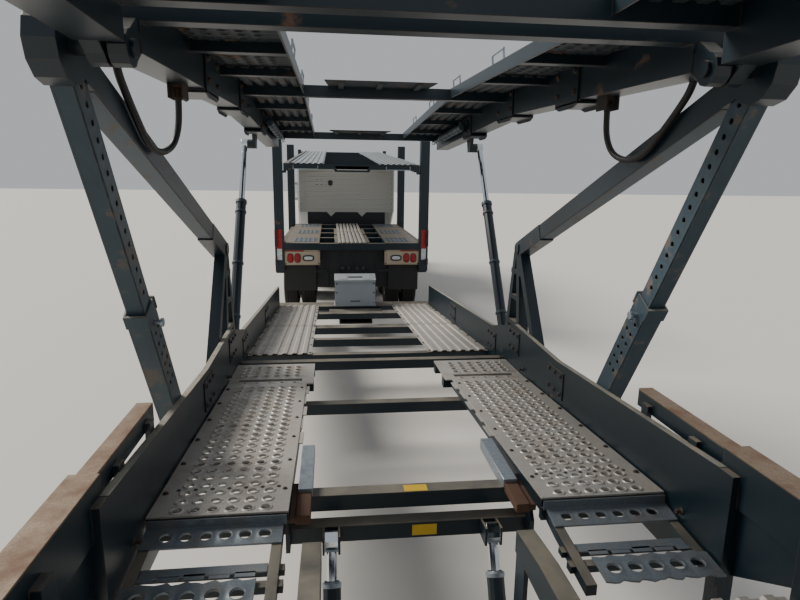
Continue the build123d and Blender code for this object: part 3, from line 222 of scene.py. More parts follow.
looks = {
    # Alkyd enamel sprayed on rolled steel, years old: dark blue-green, dusty on top, rust at the edges
    "tealEnamel": (paintedSteel, {
        "paint": "#0a1a24", "faded": "#132832", "dusty": "#827b6d", "roughness": 0.36, "dust": 0.85,
        "rust": 0.6, "rustFrom": 0.66}),
    # Chassis enamel, flat black under road film
    "chassisBlack": (paintedSteel, {
        "paint": "#15181b", "faded": "#25282b", "dusty": "#4d4a44", "roughness": 0.5, "dust": 0.7,
        "rust": 0.4, "rustFrom": 0.7}),
    # Baked polyurethane on the cab: smooth white under a clear coat, with washed-down road film
    "cabEnamel": (paintedSteel, {
        "paint": "#c4c6c1", "faded": "#b5b5ad", "dusty": "#a39c8c", "roughness": 0.32, "dust": 0.25,
        "rust": 0.0, "rustFrom": 0.9, "coat": 0.4, "patch": 900, "relief": 0.03, "edge": 8}),
    # Brushed-on enamels of the lamp boxes and the hitch housing, half gloss and chalky
    "beigeEnamel": (paintedSteel, {
        "paint": "#bcae97", "faded": "#a59782", "dusty": "#a59a86", "roughness": 0.45, "dust": 0.5,
        "rust": 0.2, "rustFrom": 0.7}),
    "silverEnamel": (paintedSteel, {
        "paint": "#a9b2b9", "faded": "#969ea4", "dusty": "#a5a29a", "roughness": 0.42, "dust": 0.4,
        "rust": 0.25, "rustFrom": 0.7}),
    # Hot-rolled plate, walked and driven bare: brown-grey scale with dull polished tracks
    "deckPlate": (bareMetal, {
        "dark": "#77716a", "light": "#a8a196", "oxide": "#7a6652", "patch": 240, "grain": 5,
        "roughness": (0.42, 0.68), "metallic": (0.75, 0.15), "film": 0.5, "relief": 0.25}),
    # Sand-cast iron, dark and coarse
    "castIron": (bareMetal, {
        "dark": "#2c2c2d", "light": "#434342", "oxide": "#4d3a2c", "patch": 120, "grain": 4,
        "roughness": (0.6, 0.85), "metallic": (0.5, 0.1), "relief": 0.4}),
    # Rolled and brushed aluminium, its lines round the tank
    "tankAluminium": (bareMetal, {
        "dark": "#b9bcbf", "light": "#d4d6d8", "oxide": "#a7a79f", "patch": 400, "grain": 2,
        "stretch": (1.0, 0.1, 1.0), "roughness": (0.2, 0.38), "metallic": (1.0, 0.8), "film": 0.4}),
    # Powder-coated disc wheels, pale grey with rust from the nuts
    "rimSteel": (paintedSteel, {
        "paint": "#b9bcc0", "faded": "#9a9ca0", "dusty": "#8f877a", "roughness": 0.4, "dust": 0.4,
        "rust": 0.5, "rustFrom": 0.64, "patch": 120}),
    # Plated and polished steel, a mirror with a light haze
    "bumperChrome": (bareMetal, {
        "dark": "#c9ccd0", "light": "#dadde0", "oxide": "#b5b2aa", "patch": 500, "grain": 2,
        "roughness": (0.06, 0.2), "metallic": (1.0, 0.9), "film": 0.3, "relief": 0.02}),
    # Hard chrome, ground and polished, wiped clean by the seals
    "rodChrome": (bareMetal, {
        "dark": "#ccd3da", "light": "#e1e6ea", "oxide": "#b9bfc4", "patch": 300, "grain": 2,
        "roughness": (0.05, 0.14), "metallic": (1.0, 1.0), "film": 0.3, "relief": 0.02}),
    # Moulded rubber and plastic: nearly black, dull, with dust in the pores
    "tyreRubber": (mouldedSkin, {"dark": "#171718", "light": "#2b2926", "roughness": 0.82, "patch": 90}),
    "flapRubber": (mouldedSkin, {"dark": "#1c1d1f", "light": "#2e2e2d", "roughness": 0.7, "patch": 200}),
    "trimPlastic": (mouldedSkin, {"dark": "#2b2b2d", "light": "#3a3a3b", "roughness": 0.6, "patch": 300}),
    "hoseRubber": (mouldedSkin, {"dark": "#141516", "light": "#262625", "roughness": 0.52, "patch": 50}),
    # Pressed and pierced plate, scuffed bright by tyres between brown stains
    "wornPlate": (bareMetal, {
        "dark": "#96928b", "light": "#d6d2cb", "oxide": "#93867a", "patch": 170, "grain": 6,
        "roughness": (0.38, 0.62), "metallic": (0.5, 0.15), "film": 0.55, "relief": 0.3}),
    # Forged bolt heads, dark with oil and rust
    "darkBolt": (bareMetal, {
        "dark": "#3a3836", "light": "#66615a", "oxide": "#4c392d", "patch": 70, "grain": 4,
        "roughness": (0.5, 0.8), "metallic": (0.6, 0.2), "relief": 0.2}),
    # Folded plate that has lost its paint, blue-grey
    "greySteel": (bareMetal, {
        "dark": "#5d666e", "light": "#8f99a2", "oxide": "#77726a", "patch": 130, "grain": 7,
        "roughness": (0.4, 0.65), "metallic": (0.6, 0.3), "film": 0.6}),
    # Hot-dip zinc, its spangle 14 mm across
    "galvanised": (bareMetal, {
        "dark": "#8b97a3", "light": "#bcc6ce", "oxide": "#8b8e8c", "patch": 60, "grain": 14,
        "roughness": (0.3, 0.55), "metallic": (0.85, 0.5), "film": 0.6}),
    # Bare steel left to rust: a dark bar, and planks whose rust is walked pale
    "rustedBar": (bareMetal, {
        "dark": "#3d2a21", "light": "#6e5341", "oxide": "#543a2d", "patch": 60, "grain": 5,
        "roughness": (0.75, 0.95), "metallic": (0.15, 0.0), "relief": 0.6}),
    "rustedPlate": (bareMetal, {
        "dark": "#6e5a4b", "light": "#a3927e", "oxide": "#6f523f", "patch": 140, "grain": 7,
        "roughness": (0.6, 0.85), "metallic": (0.35, 0.1), "film": 0.8, "relief": 0.4}),
    # The frame's enamel where chains rub it pale, and where it is greasy under the beds
    "wornTeal": (paintedSteel, {
        "paint": "#1f333f", "faded": "#3b4f5a", "dusty": "#a19b8b", "roughness": 0.45, "dust": 0.95,
        "rust": 0.55, "rustFrom": 0.56, "patch": 150, "rustDark": "#54443a", "rustLight": "#8f7d69"}),
    "soiledTeal": (paintedSteel, {
        "paint": "#222d35", "faded": "#3f494f", "dusty": "#7f786b", "roughness": 0.55, "dust": 0.6,
        "rust": 0.6, "rustFrom": 0.56, "patch": 190}),
    # Ribbed sheet of the head rack, washed pale
    "paleSheet": (bareMetal, {
        "dark": "#8c949b", "light": "#c6ccd1", "oxide": "#8d8a82", "patch": 210, "grain": 6,
        "roughness": (0.35, 0.6), "metallic": (0.7, 0.35), "film": 0.6}),
    # Cast vinyl, a smooth flat yellow
    "labelVinyl": (mouldedSkin, {
        "dark": "#c49d1a", "light": "#e0bb33", "roughness": 0.42, "patch": 60, "relief": 0.05}),
    # Float glass of the cab, and moulded acrylic lenses that are deep in colour and prismed
    "cabGlass": (clearSheet, {"tint": "#c3d3d0", "ior": 1.52, "clear": 0.92, "roughness": 0.02}),
    "whiteReflector": (clearSheet, {
        "tint": "#e2e4e2", "ior": 1.49, "clear": 0.15, "roughness": 0.2, "prisms": 11.8375}),
    "amberAcrylic": (clearSheet, {
        "tint": "#df7a12", "ior": 1.49, "clear": 0.35, "roughness": 0.12, "prisms": 15.7834}),
    "redAcrylic": (clearSheet, {
        "tint": "#c01525", "ior": 1.49, "clear": 0.35, "roughness": 0.12, "prisms": 15.7834}),
    "clearAcrylic": (clearSheet, {
        "tint": "#e6ebec", "ior": 1.49, "clear": 0.7, "roughness": 0.08, "prisms": 27.6209}),
}
finishes = {name: family(name, look) for name, (family, look) in looks.items()}

slotFinish = {
    "tyre": "tyreRubber", "rim_steel": "rimSteel", "chassis_paint": "chassisBlack",
    "cast_iron": "castIron", "tank_aluminium": "tankAluminium", "cab_paint": "cabEnamel",
    "clear_glass": "cabGlass", "cab_trim": "trimPlastic", "bumper_chrome": "bumperChrome",
    "deck_steel": "deckPlate", "teal_paint": "tealEnamel", "lamp_box_paint": "beigeEnamel",
    "red_lens": "redAcrylic", "black_rubber": "flapRubber", "lamp_lens": "clearAcrylic",
    "silver_paint": "silverEnamel", "chrome_rod": "rodChrome",
}
for subpart in frame["record"]["subparts"]:
    for slot in cadNodes[subpart["node"]].material_slots:
        slot.material = finishes[slotFinish[subpart["material_slot"]]]

# Parts of a node in another finish: node, finish, and the test on a face's middle and normal
rackEdge, grilleHalf = 1.041, 0.431
faceFinishes = [
    ("head_rack", "tealEnamel", lambda spot, facing: abs(facing.z) < 0.6 or abs(spot.x) > rackEdge),
    ("head_rack", "paleSheet", lambda spot, facing: facing.z > 0.6 and abs(spot.x) < rackEdge),
    ("hood", "trimPlastic", lambda spot, facing: spot.y > 11.925 and abs(spot.x) < grilleHalf),
    ("hood", "bumperChrome", lambda spot, facing: spot.y > 11.945 and abs(spot.x) < grilleHalf),
    ("tractor_deck", "tealEnamel", lambda spot, facing: abs(facing.z) < 0.6 or facing.z < 0),
    ("front_bed", "deckPlate", lambda spot, facing: facing.z > 0.9 and 0.55 < abs(spot.x) < 1.0),
    ("rear_bed", "deckPlate", lambda spot, facing: facing.z > 0.9 and 0.55 < abs(spot.x) < 1.0),
]
bpy.context.view_layer.update()
for nodeName, finish, wanted in faceFinishes:
    node = cadNodes[nodeName]
    node.data.materials.append(finishes[finish])
    turned = node.matrix_world.to_3x3()
    for face in node.data.polygons:
        if wanted(node.matrix_world @ face.center, turned @ face.normal):
            face.material_index = len(node.data.materials) - 1
print("finishes on the frame")


# Mesh tools. A place is a function from a sheet's own (across, along, up) to the vehicle, in
# metres. side is 1 on the right and -1 on the left, where a form is the mirror image.
sideNames = {"left": -1, "right": 1}


def joinRows(shape, rows, looped=False, capped=False):
    count = len(rows[0])
    for a, b in zip(rows, rows[1:] + rows[:1] if looped else rows[1:]):
        for k in range(count):
            shape.faces.new((a[k], a[(k + 1) % count], b[(k + 1) % count], b[k]))
    if capped:
        shape.faces.new(rows[0][::-1])
        shape.faces.new(rows[-1])


def addPrism(shape, axis, levels, outline, side=1):
    rows = []
    for level in levels:
        spots = [(*pair[:axis], level, *pair[axis:]) for pair in outline]
        rows.append([shape.verts.new((side * x, y, z)) for x, y, z in spots])
    joinRows(shape, rows, capped=True)


def addBoxes(shape, boxes, side=1):
    for (left, right), (near, far), up in boxes:
        addPrism(shape, 2, up, [(left, near), (right, near), (right, far), (left, far)], side)


# A bar between two (y, z) points; offset shifts it square to its run
def addBar(shape, start, end, deep, across, side=1, offset=0.0):
    start, end = Vector(start), Vector(end)
    run = (end - start).normalized()
    square = Vector((-run.y, run.x))
    top, foot = square * (offset + deep / 2), square * (offset - deep / 2)
    addPrism(shape, 0, across, [tuple(spot) for spot in (start + top, end + top, end + foot, start + foot)], side)


# A turned form on a line; its profile is (distance, radius)
def addLathe(shape, start, direction, profile, sides=24, ringed=False):
    run = Vector(direction).normalized()
    across = run.orthogonal().normalized()
    lift = run.cross(across)
    spokes = [across * math.cos(2 * math.pi * k / sides) + lift * math.sin(2 * math.pi * k / sides)
              for k in range(sides)]
    rows = [[shape.verts.new(Vector(start) + run * distance + spoke * radius) for spoke in spokes]
            for distance, radius in profile]
    joinRows(shape, rows, ringed, not ringed)


# A profile of (across, up) points drawn along a place
def addRun(shape, place, profile, start, end):
    joinRows(shape, [[shape.verts.new(place(x, along, up)) for x, up in profile] for along in (start, end)],
             capped=True)


def ribProfile(middle, foot, crown, low, high):
    return [(middle - foot, low), (middle - crown, high), (middle + crown, high), (middle + foot, low)]


# A hexagon head on a round washer
def addBolt(shape, spot, facing, across=0.024):
    addLathe(shape, spot, facing, [(-0.002, across * 0.78), (0.003, across * 0.78)], 12)
    addLathe(shape, spot, facing, [(0.0, across * 0.55), (across * 0.45, across * 0.55),
                                   (across * 0.52, across * 0.45)], 6)


# Border of one cell of a pierced sheet, in 16 points from the middle of its right edge
cellShares = (0, 0.293, 0.5, 0.707, 1)
cellPicks = [(4, 2), (4, 3), (4, 4), (3, 4), (2, 4), (1, 4), (0, 4), (0, 3), (0, 2), (0, 1), (0, 0), (1, 0),
             (2, 0), (3, 0), (4, 0), (4, 1)]


# A sheet with round holes, their edges flared up. A cell whose hole is None is plain.
def addPierced(shape, place, xCuts, yCuts, holeAt, radius, rise, thick):
    pieces = bmesh.new()
    lastX, lastY = len(xCuts) - 2, len(yCuts) - 2
    for i, (left, right) in enumerate(zip(xCuts, xCuts[1:])):
        for j, (low, high) in enumerate(zip(yCuts, yCuts[1:])):
            border = [(left + (right - left) * cellShares[a], low + (high - low) * cellShares[b])
                      for a, b in cellPicks]
            hole = holeAt(i, j)
            rings = [[pieces.verts.new(place(x, y, 0.0)) for x, y in border]]
            if hole:
                for away, up in ((0.010, 0.0), (0.005, rise), (0.0015, rise), (0.0, rise * 0.5), (0.0, -thick)):
                    rings.append([pieces.verts.new(place(
                        hole[0] + (radius + away) * math.cos(math.pi * k / 8),
                        hole[1] + (radius + away) * math.sin(math.pi * k / 8), up)) for k in range(16)])
            rings.append([pieces.verts.new(place(x, y, -thick)) for x, y in border])
            if hole:
                joinRows(pieces, rings)
            else:
                pieces.faces.new(rings[0])
                pieces.faces.new(rings[1][::-1])
            for atEdge, first in ((i == lastX, 14), (j == lastY, 2), (i == 0, 6), (j == 0, 10)):
                for k in range(first, first + 4) if atEdge else ():
                    pieces.faces.new([rings[row][m % 16] for row, m in ((0, k), (0, k + 1), (-1, k + 1), (-1, k))])
    bmesh.ops.remove_doubles(pieces, verts=pieces.verts, dist=0.00005)
    bmesh.ops.recalc_face_normals(pieces, faces=pieces.faces)
    whole = bpy.data.meshes.new("piercedSheet")
    pieces.to_mesh(whole)
    pieces.free()
    shape.from_mesh(whole)
    bpy.data.meshes.remove(whole)


# Place on a straight deck line, given as its two (y, z) ends
def onLine(line, side=1):
    (yA, zA), (yB, zB) = line
    run = Vector((0, yB - yA, zB - zA)).normalized()
    square = Vector((0, -run.z, run.y))
    start = Vector((0, yA, zA))
    return lambda across, along, up: start + Vector((side * across, 0, 0)) + run * along + square * up


def lineLength(line):
    return math.hypot(line[1][0] - line[0][0], line[1][1] - line[0][1])


def heightOn(line, y):
    for (yA, zA), (yB, zB) in zip(line, line[1:]):
        if yA <= y <= yB:
            return zA + (zB - zA) * (y - yA) / (yB - yA)
    return line[0][1] if y < line[0][0] else line[-1][1]


def partOf(line, low, high):
    return [(low, heightOn(line, low)), (high, heightOn(line, high))]


# Turns a bmesh into a piece on its body. crease is the angle above which an edge stays sharp.
def makePiece(name, shape, finish, body, crease=35, bevel=0.0):
    bmesh.ops.recalc_face_normals(shape, faces=shape.faces)
    mesh = bpy.data.meshes.new(name)
    shape.to_mesh(mesh)
    shape.free()
    mesh.polygons.foreach_set("use_smooth", [True] * len(mesh.polygons))
    mesh.set_sharp_from_angle(angle=math.radians(crease))
    mesh.materials.append(finishes[finish])
    piece = addToScene(name, mesh)
    if bevel:
        rounding = piece.modifiers.new("softEdges", "BEVEL")
        rounding.width, rounding.segments, rounding.limit_method = bevel, 2, "ANGLE"
    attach(piece, body)
    return piece


# Hydraulic hoses: one thick rubber hose hangs in a loop beside each head of the front bed.
# The route and the length follow the loops in the photograph; points are (across, y, z).
hoseSetup = {
    "thickness": 0.032,
    "route": [(1.100, -3.160, 2.902), (1.100, -3.160, 2.810), (1.108, -3.163, 2.710), (1.130, -3.205, 2.625),
              (1.158, -3.325, 2.590), (1.169, -3.470, 2.625), (1.169, -3.600, 2.715), (1.169, -3.720, 2.805),
              (1.169, -3.815, 2.890), (1.169, -3.830, 2.965)],
    "ferrule": [(0.0, 0.0205), (0.020, 0.0205), (0.022, 0.0185), (0.050, 0.0180), (0.062, 0.0168)],
    "brackets": [((1.066, 1.134), (-3.198, -3.122), (2.908, 2.936)),
                 ((1.064, 1.072), (-3.220, -3.100), (2.856, 2.932)),
                 ((1.128, 1.136), (-3.220, -3.100), (2.856, 2.932)),
                 ((1.149, 1.189), (-3.856, -3.804), (2.971, 2.999))],
}


def buildHoses(setup):
    fittings = bmesh.new()
    route = setup["route"]
    for name, side in sideNames.items():
        curve = bpy.data.curves.new(name + "BedHose", "CURVE")
        curve.dimensions = "3D"
        curve.bevel_depth = setup["thickness"] / 2
        curve.bevel_resolution, curve.resolution_u = 5, 12
        curve.use_fill_caps = True
        curve.materials.append(finishes["hoseRubber"])
        spline = curve.splines.new("NURBS")
        spline.points.add(len(route) - 1)
        for point, (x, y, z) in zip(spline.points, route):
            point.co = (side * x, y, z, 1.0)
        spline.order_u = 3
        spline.use_endpoint_u = True
        hose = addToScene(name + "BedHose", curve)
        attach(hose, "front_bed")
        for x, y, z in (route[0], route[-1]):
            addLathe(fittings, (side * x, y, z + 0.010), (0, 0, -1), setup["ferrule"], 18)
        addBoxes(fittings, setup["brackets"], side)
    makePiece("hoseFittings", fittings, "castIron", "front_bed", bevel=0.001)


buildHoses(hoseSetup)
print("hoses done")


# Deck sheets of the lower bed: the pierced main sheets, the folded flange below their near
# edge with six holes, and the torn step plate at the end of the frame with five
lowerSheets = {
    "line": [(-3.970, 1.096), (-1.990, 0.960)],
    "inner": 0.560, "outer": 1.145, "thick": 0.008,
    "firstHole": (0.658, 0.0424), "pitch": (0.075, 0.080), "columns": 6, "rows": 24,
    "holeRadius": 0.0205, "flare": 0.005,
    "boltRows": (0.215, 0.545, 0.875, 1.205, 1.535, 1.865), "bolts": ((1.122, 0.018), (0.590, 0.014)),
    "rivet": [(0.0, 0.010), (0.004, 0.009), (0.006, 0.004)], "rivetsAfterRow": 2.5,
    "tabs": [(0.78, 0.534), (1.02, 0.548), (1.26, 0.534), (1.50, 0.548), (1.74, 0.534)],    # start, inner edge
    "tabLength": 0.17, "tabThick": 0.006, "tabOuter": 0.563, "tabDrop": 0.010,
    "flangeLine": [(-4.095, 1.032), (-3.982, 1.050)], "fold": ((0.566, 1.143), (-3.986, -3.981), (1.044, 1.087)),
    "stepLine": [(-4.425, 1.002), (-4.290, 1.014)], "bent": ((0.625, 1.102), (-4.240, -4.188), (1.001, 1.006)),
    "ragged": (0.004, -0.006, 0.007, 0.0, -0.004),
    "strips": [((0.466, 0.534), (-3.705, -3.235), (1.0045, 1.046)),
               ((0.466, 0.470), (-3.705, -3.235), (0.985, 1.006))],
    "stubs": [((0.470, 0.536), (-3.905, -3.700), (0.985, 1.028)),
              ((0.530, 0.566), (-3.90, -3.60), (0.990, 1.020))],
}


def buildLowerSheets(setup):
    (firstX, firstY), (pitchX, pitchY) = setup["firstHole"], setup["pitch"]
    columns, rows, thick, outer = (setup[key] for key in ("columns", "rows", "thick", "outer"))
    xCuts = [setup["inner"]] + [firstX + pitchX * (i + 0.5) for i in range(columns - 1)] + [outer]
    yCuts = [0.0] + [firstY + pitchY * (j + 0.5) for j in range(rows - 1)] + [lineLength(setup["line"])]
    sheets, heads, tabs, folds, strip, stub = (bmesh.new() for _ in range(6))
    for side in (-1, 1):
        place = onLine(setup["line"], side)
        addPierced(sheets, place, xCuts, yCuts, lambda i, j: (firstX + pitchX * i, firstY + pitchY * j),
                   setup["holeRadius"], setup["flare"], thick)
        up = place(0, 0, 1) - place(0, 0, 0)
        for along in setup["boltRows"]:
            for across, size in setup["bolts"]:
                addBolt(heads, place(across, along, 0.0), up, size)
        rivetsAt = firstY + pitchY * setup["rivetsAfterRow"]
        for i in range(columns + 1):
            addLathe(heads, place(firstX + pitchX * (i - 0.5), rivetsAt, -0.001), up, setup["rivet"], 10)
        # Hinge tabs, stepped along the inner edge
        drop = Vector((0, 0, setup["tabDrop"]))
        edge, tall = setup["tabOuter"], setup["tabThick"]
        for along, inner in setup["tabs"]:
            addRun(tabs, lambda x, y, z: place(x, y, z) - drop,
                   [(inner, 0), (edge, 0), (edge, tall), (inner, tall)], along, along + setup["tabLength"])
        # The flange's six holes, and the upright fold between it and the main sheet
        cuts = [0.580] + [0.692 + 0.080 * i for i in range(5)] + [outer]
        addPierced(folds, onLine(setup["flangeLine"], side), cuts, [0.0, lineLength(setup["flangeLine"])],
                   lambda i, j: (0.652 + 0.080 * i, 0.057), 0.024, 0.002, thick)
        # The step plate's five holes between torn edges
        level, reach = onLine(setup["stepLine"], side), lineLength(setup["stepLine"])

        def torn(across, along, up):
            wave = 0.006 * math.sin(across * 71) + 0.004 * math.sin(across * 173 + 1)
            return level(across, along + (wave if along < 0.01 or along > reach - 0.01 else 0.0), up)

        cuts = [0.660] + [0.764 + 0.088 * i for i in range(4)] + [outer]
        addPierced(folds, torn, cuts, [0.0, reach], lambda i, j: (0.720 + 0.088 * i, 0.068), 0.027, 0.003, thick)
        # Bent strip behind the step plate, its edge cut through the old holes
        teeth = [((0.668 + 0.095 * k, 0.746 + 0.095 * k), (-4.262, -4.236 + depth), (1.002, 1.006))
                 for k, depth in enumerate(setup["ragged"])]
        addBoxes(folds, [setup["fold"], setup["bent"], *teeth], side)
        addBoxes(strip, setup["strips"], side)
        addBoxes(stub, setup["stubs"], side)
    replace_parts(makePiece("mainSheets", sheets, "wornPlate", "lower_bed", 40), "main_plates")
    makePiece("mainSheetBolts", heads, "darkBolt", "lower_bed")
    makePiece("hingeTabs", tabs, "wornPlate", "lower_bed")
    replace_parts(makePiece("nearFolds", folds, "greySteel", "lower_bed", 40), "main_plates")
    # Galvanised box strip inside the plate, and the rusted end of the bar that it covers
    makePiece("galvanisedStrip", strip, "galvanised", "lower_bed", bevel=0.003)
    makePiece("rustedStub", stub, "rustedBar", "lower_bed", bevel=0.004)


buildLowerSheets(lowerSheets)
print("lower sheets done")


# Deck sheets of the trailer: the pierced junction plate with its slot, ribbed sheets on the
# slope to the front, and ribbed sheets over the rear axles
trailerSheets = {
    "junction": [(-1.975, 0.952), (-1.435, 0.935)], "junctionInner": 0.511, "outer": 1.150, "junctionThick": 0.008,
    "ribbed": [
        [(-0.860, 0.846), (0.760, 0.706)], [(0.790, 0.703), (1.960, 0.602)], [(1.990, 0.590), (2.700, 0.538)],
        [(-12.0, 0.830), (-8.350, 1.120)], [(-8.350, 1.120), (-4.700, 1.120)],
    ],
    "inner": 0.560, "thick": 0.005, "ribs": 6, "ribPitch": 0.092, "ribCrown": 0.017, "ribFoot": 0.029,
    "ribHigh": 0.012, "boltPitch": 0.45, "boltLines": (0.576, 1.134),
}


def buildTrailerSheets(setup):
    sheets, heads = bmesh.new(), bmesh.new()
    inner, outer, thick = setup["junctionInner"], setup["outer"], setup["junctionThick"]
    top = [(setup["inner"], 0.0)]
    for k in range(setup["ribs"]):
        middle = setup["inner"] + 0.065 + setup["ribPitch"] * k
        top += ribProfile(middle, setup["ribFoot"], setup["ribCrown"], 0.0, setup["ribHigh"])
    top.append((outer, 0.0))
    outline = top + [(x, up - setup["thick"]) for x, up in reversed(top)]
    nearCuts = [inner] + [0.700 + 0.095 * i for i in range(4)] + [outer]
    farCuts = [inner] + [0.681 + 0.082 * i for i in range(5)] + [outer]
    farRows = (0.205, 0.283, 0.361, 0.439)
    for side in (-1, 1):
        place = onLine(setup["junction"], side)
        addPierced(sheets, place, nearCuts, [0.0, 0.070], lambda i, j: (0.652 + 0.095 * i, 0.038),
                   0.014, 0.002, thick)
        for across in ([inner, 0.600], [1.080, outer]):     # plain ends of the slot
            addPierced(sheets, place, across, [0.070, 0.128], lambda i, j: None, 0.014, 0.002, thick)
        addPierced(sheets, place, farCuts, [0.128, 0.245, 0.322, 0.400, lineLength(setup["junction"])],
                   lambda i, j: (0.640 + 0.082 * i, farRows[j]), 0.024, 0.004, thick)
        for line in setup["ribbed"]:
            place, reach = onLine(line, side), lineLength(line)
            addRun(sheets, place, outline, 0.0, reach)
            up = place(0, 0, 1) - place(0, 0, 0)
            count = max(3, round(reach / setup["boltPitch"]))
            for across in setup["boltLines"]:
                for k in range(count + 1):
                    addBolt(heads, place(across, 0.04 + (reach - 0.08) * k / count, 0.0), up, 0.016)
    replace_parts(makePiece("trailerSheets", sheets, "wornPlate", "trailer", 40), "deck_plates")
    makePiece("trailerSheetBolts", heads, "darkBolt", "trailer")


buildTrailerSheets(trailerSheets)
print("trailer sheets done")


# Tyres and disc wheels. A twin pair is one body.
axles = [
    # name, y, tyre centres, tyre radius, tyre width
    ("front_", 10.9, (1.040,), 0.500, 0.270),
    ("rear_drive_", 5.15, (0.790, 1.110), 0.500, 0.270),
    ("front_drive_", 6.45, (0.790, 1.110), 0.500, 0.270),
    ("rear_trailer_", -7.25, (0.835, 1.115), 0.465, 0.250),
    ("front_trailer_", -6.05, (0.835, 1.115), 0.465, 0.250),
]
wheelLook = {"steps": 80, "rimRadius": 0.286, "grooveDeep": 0.013, "lugDeep": 0.009, "sipeDeep": 0.004,
             "webs": 10, "boltCircle": 0.132, "hubBolts": 8, "hubCircle": 0.066}


# A tyre's section as (across, radius, kind); kind 1 is tread and 2 is shoulder, which are notched
def tyreProfile(radius, width, rimRadius, grooveDeep):
    half = [(0.0, radius - grooveDeep, 0), (0.020, radius - grooveDeep, 0), (0.026, radius, 1),
            (0.165, radius, 1), (0.172, radius - grooveDeep, 0), (0.212, radius - grooveDeep, 0),
            (0.219, radius, 1), (0.330, radius - 0.002, 1), (0.410, radius - 0.010, 2),
            (0.468, radius - 0.034, 2), (0.497, radius - 0.085, 0), (0.500, (radius + rimRadius) / 2, 0),
            (0.482, rimRadius + 0.045, 0), (0.430, rimRadius + 0.012, 0), (0.400, rimRadius, 0)]
    whole = [(-x, r, kind) for x, r, kind in reversed(half)] + half[1:]
    whole += [(0.40, rimRadius - 0.012, 0), (-0.40, rimRadius - 0.012, 0)]
    return [(x * width, r, kind) for x, r, kind in whole]


def addTyre(shape, xMiddle, axleY, radius, width, look):
    steps, notches = look["steps"], (0.0, look["sipeDeep"], look["lugDeep"])
    rows = []
    for x, r, kind in tyreProfile(radius, width, look["rimRadius"], look["grooveDeep"]):
        row = []
        for k in range(steps):
            reach = r - (notches[kind] if k % 4 == 0 else 0.0)
            turn = 2 * math.pi * (k + 0.5) / steps
            y, z = axleY + reach * math.sin(turn), radius - reach * math.cos(turn)
            row.append(shape.verts.new((xMiddle + x, y, z)))
        rows.append(row)
    joinRows(shape, rows, looped=True)


def addDiscWheel(shape, nuts, side, axleY, radius, discX, hubEnd, rimBack, rimOut, look):
    out, start, rim = (side, 0, 0), (0, axleY, radius), look["rimRadius"]

    def spotAt(x, r, turn):
        return side * x, axleY + r * math.sin(turn), radius + r * math.cos(turn)

    barrel = [(rimBack, rim), (rimBack + 0.006, rim - 0.002), (rimBack + 0.016, rim - 0.012),
              (rimOut - 0.016, rim - 0.012), (rimOut - 0.006, rim - 0.002), (rimOut, rim), (rimOut, rim - 0.010),
              (rimOut - 0.010, rim - 0.022), (rimBack + 0.010, rim - 0.022), (rimBack, rim - 0.010)]
    addLathe(shape, start, out, barrel, 48, ringed=True)
    # Disc: its flange, the webs between the hand holes, and the ring welded in the barrel
    addLathe(shape, start, out, [(discX - 0.006, 0.170), (discX + 0.006, 0.170), (discX + 0.008, 0.166),
                                 (discX + 0.008, 0.06), (discX - 0.006, 0.06)], 40, ringed=True)
    addLathe(shape, start, out, [(discX - 0.010, 0.222), (discX + 0.002, 0.222), (discX - 0.014, 0.266),
                                 (discX - 0.030, 0.266)], 48, ringed=True)
    addLathe(shape, start, out, [(discX - 0.04, 0.100), (discX + 0.030, 0.098), (hubEnd - 0.012, 0.088),
                                 (hubEnd - 0.003, 0.080), (hubEnd, 0.060)], 32)
    for k in range(look["webs"]):
        turn = 2 * math.pi * k / look["webs"]
        corners = [spotAt(0, r, turn + spread)[1:] for r, spread in (
            (0.166, 0.155), (0.166, -0.155), (0.225, -0.170), (0.225, 0.170))]
        addPrism(shape, 0, (discX - 0.006, discX + 0.004), corners, side)
        spot = spotAt(discX + 0.008, look["boltCircle"], turn + math.pi / look["webs"])
        addLathe(nuts, spot, out, [(0, 0.018), (0.004, 0.018)], 12)
        addLathe(nuts, spot, out, [(0.003, 0.0155), (0.022, 0.0155), (0.026, 0.012)], 6)
    for k in range(look["hubBolts"]):
        spot = spotAt(hubEnd - 0.008, look["hubCircle"], 2 * math.pi * k / look["hubBolts"])
        addLathe(nuts, spot, out, [(0, 0.009), (0.007, 0.009)], 6)


for axle, axleY, centres, radius, width in axles:
    tread = 0.41 * width
    rimBack, rimOut = centres[0] - tread, centres[-1] + tread
    single = len(centres) == 1
    discX = centres[0] + 0.3 * tread if single else (centres[0] + centres[1]) / 2 + 0.024
    hubEnd = min(discX + 0.045, rimOut) if single else centres[-1]
    for sideName, side in sideNames.items():
        rubber, steel, nuts = bmesh.new(), bmesh.new(), bmesh.new()
        for centre in centres:
            addTyre(rubber, side * centre, axleY, radius, width, wheelLook)
        addDiscWheel(steel, nuts, side, axleY, radius, discX, hubEnd, rimBack, rimOut, wheelLook)
        name = axle + sideName
        body = name + "_wheel"
        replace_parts(makePiece(name + "_treadedTyre", rubber, "tyreRubber", body, 30), name + "_tyre")
        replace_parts(makePiece(name + "_discWheel", steel, "rimSteel", body, 30), name + "_rim")
        makePiece(name + "_nuts", nuts, "darkBolt", body, 30)
print("wheels done")


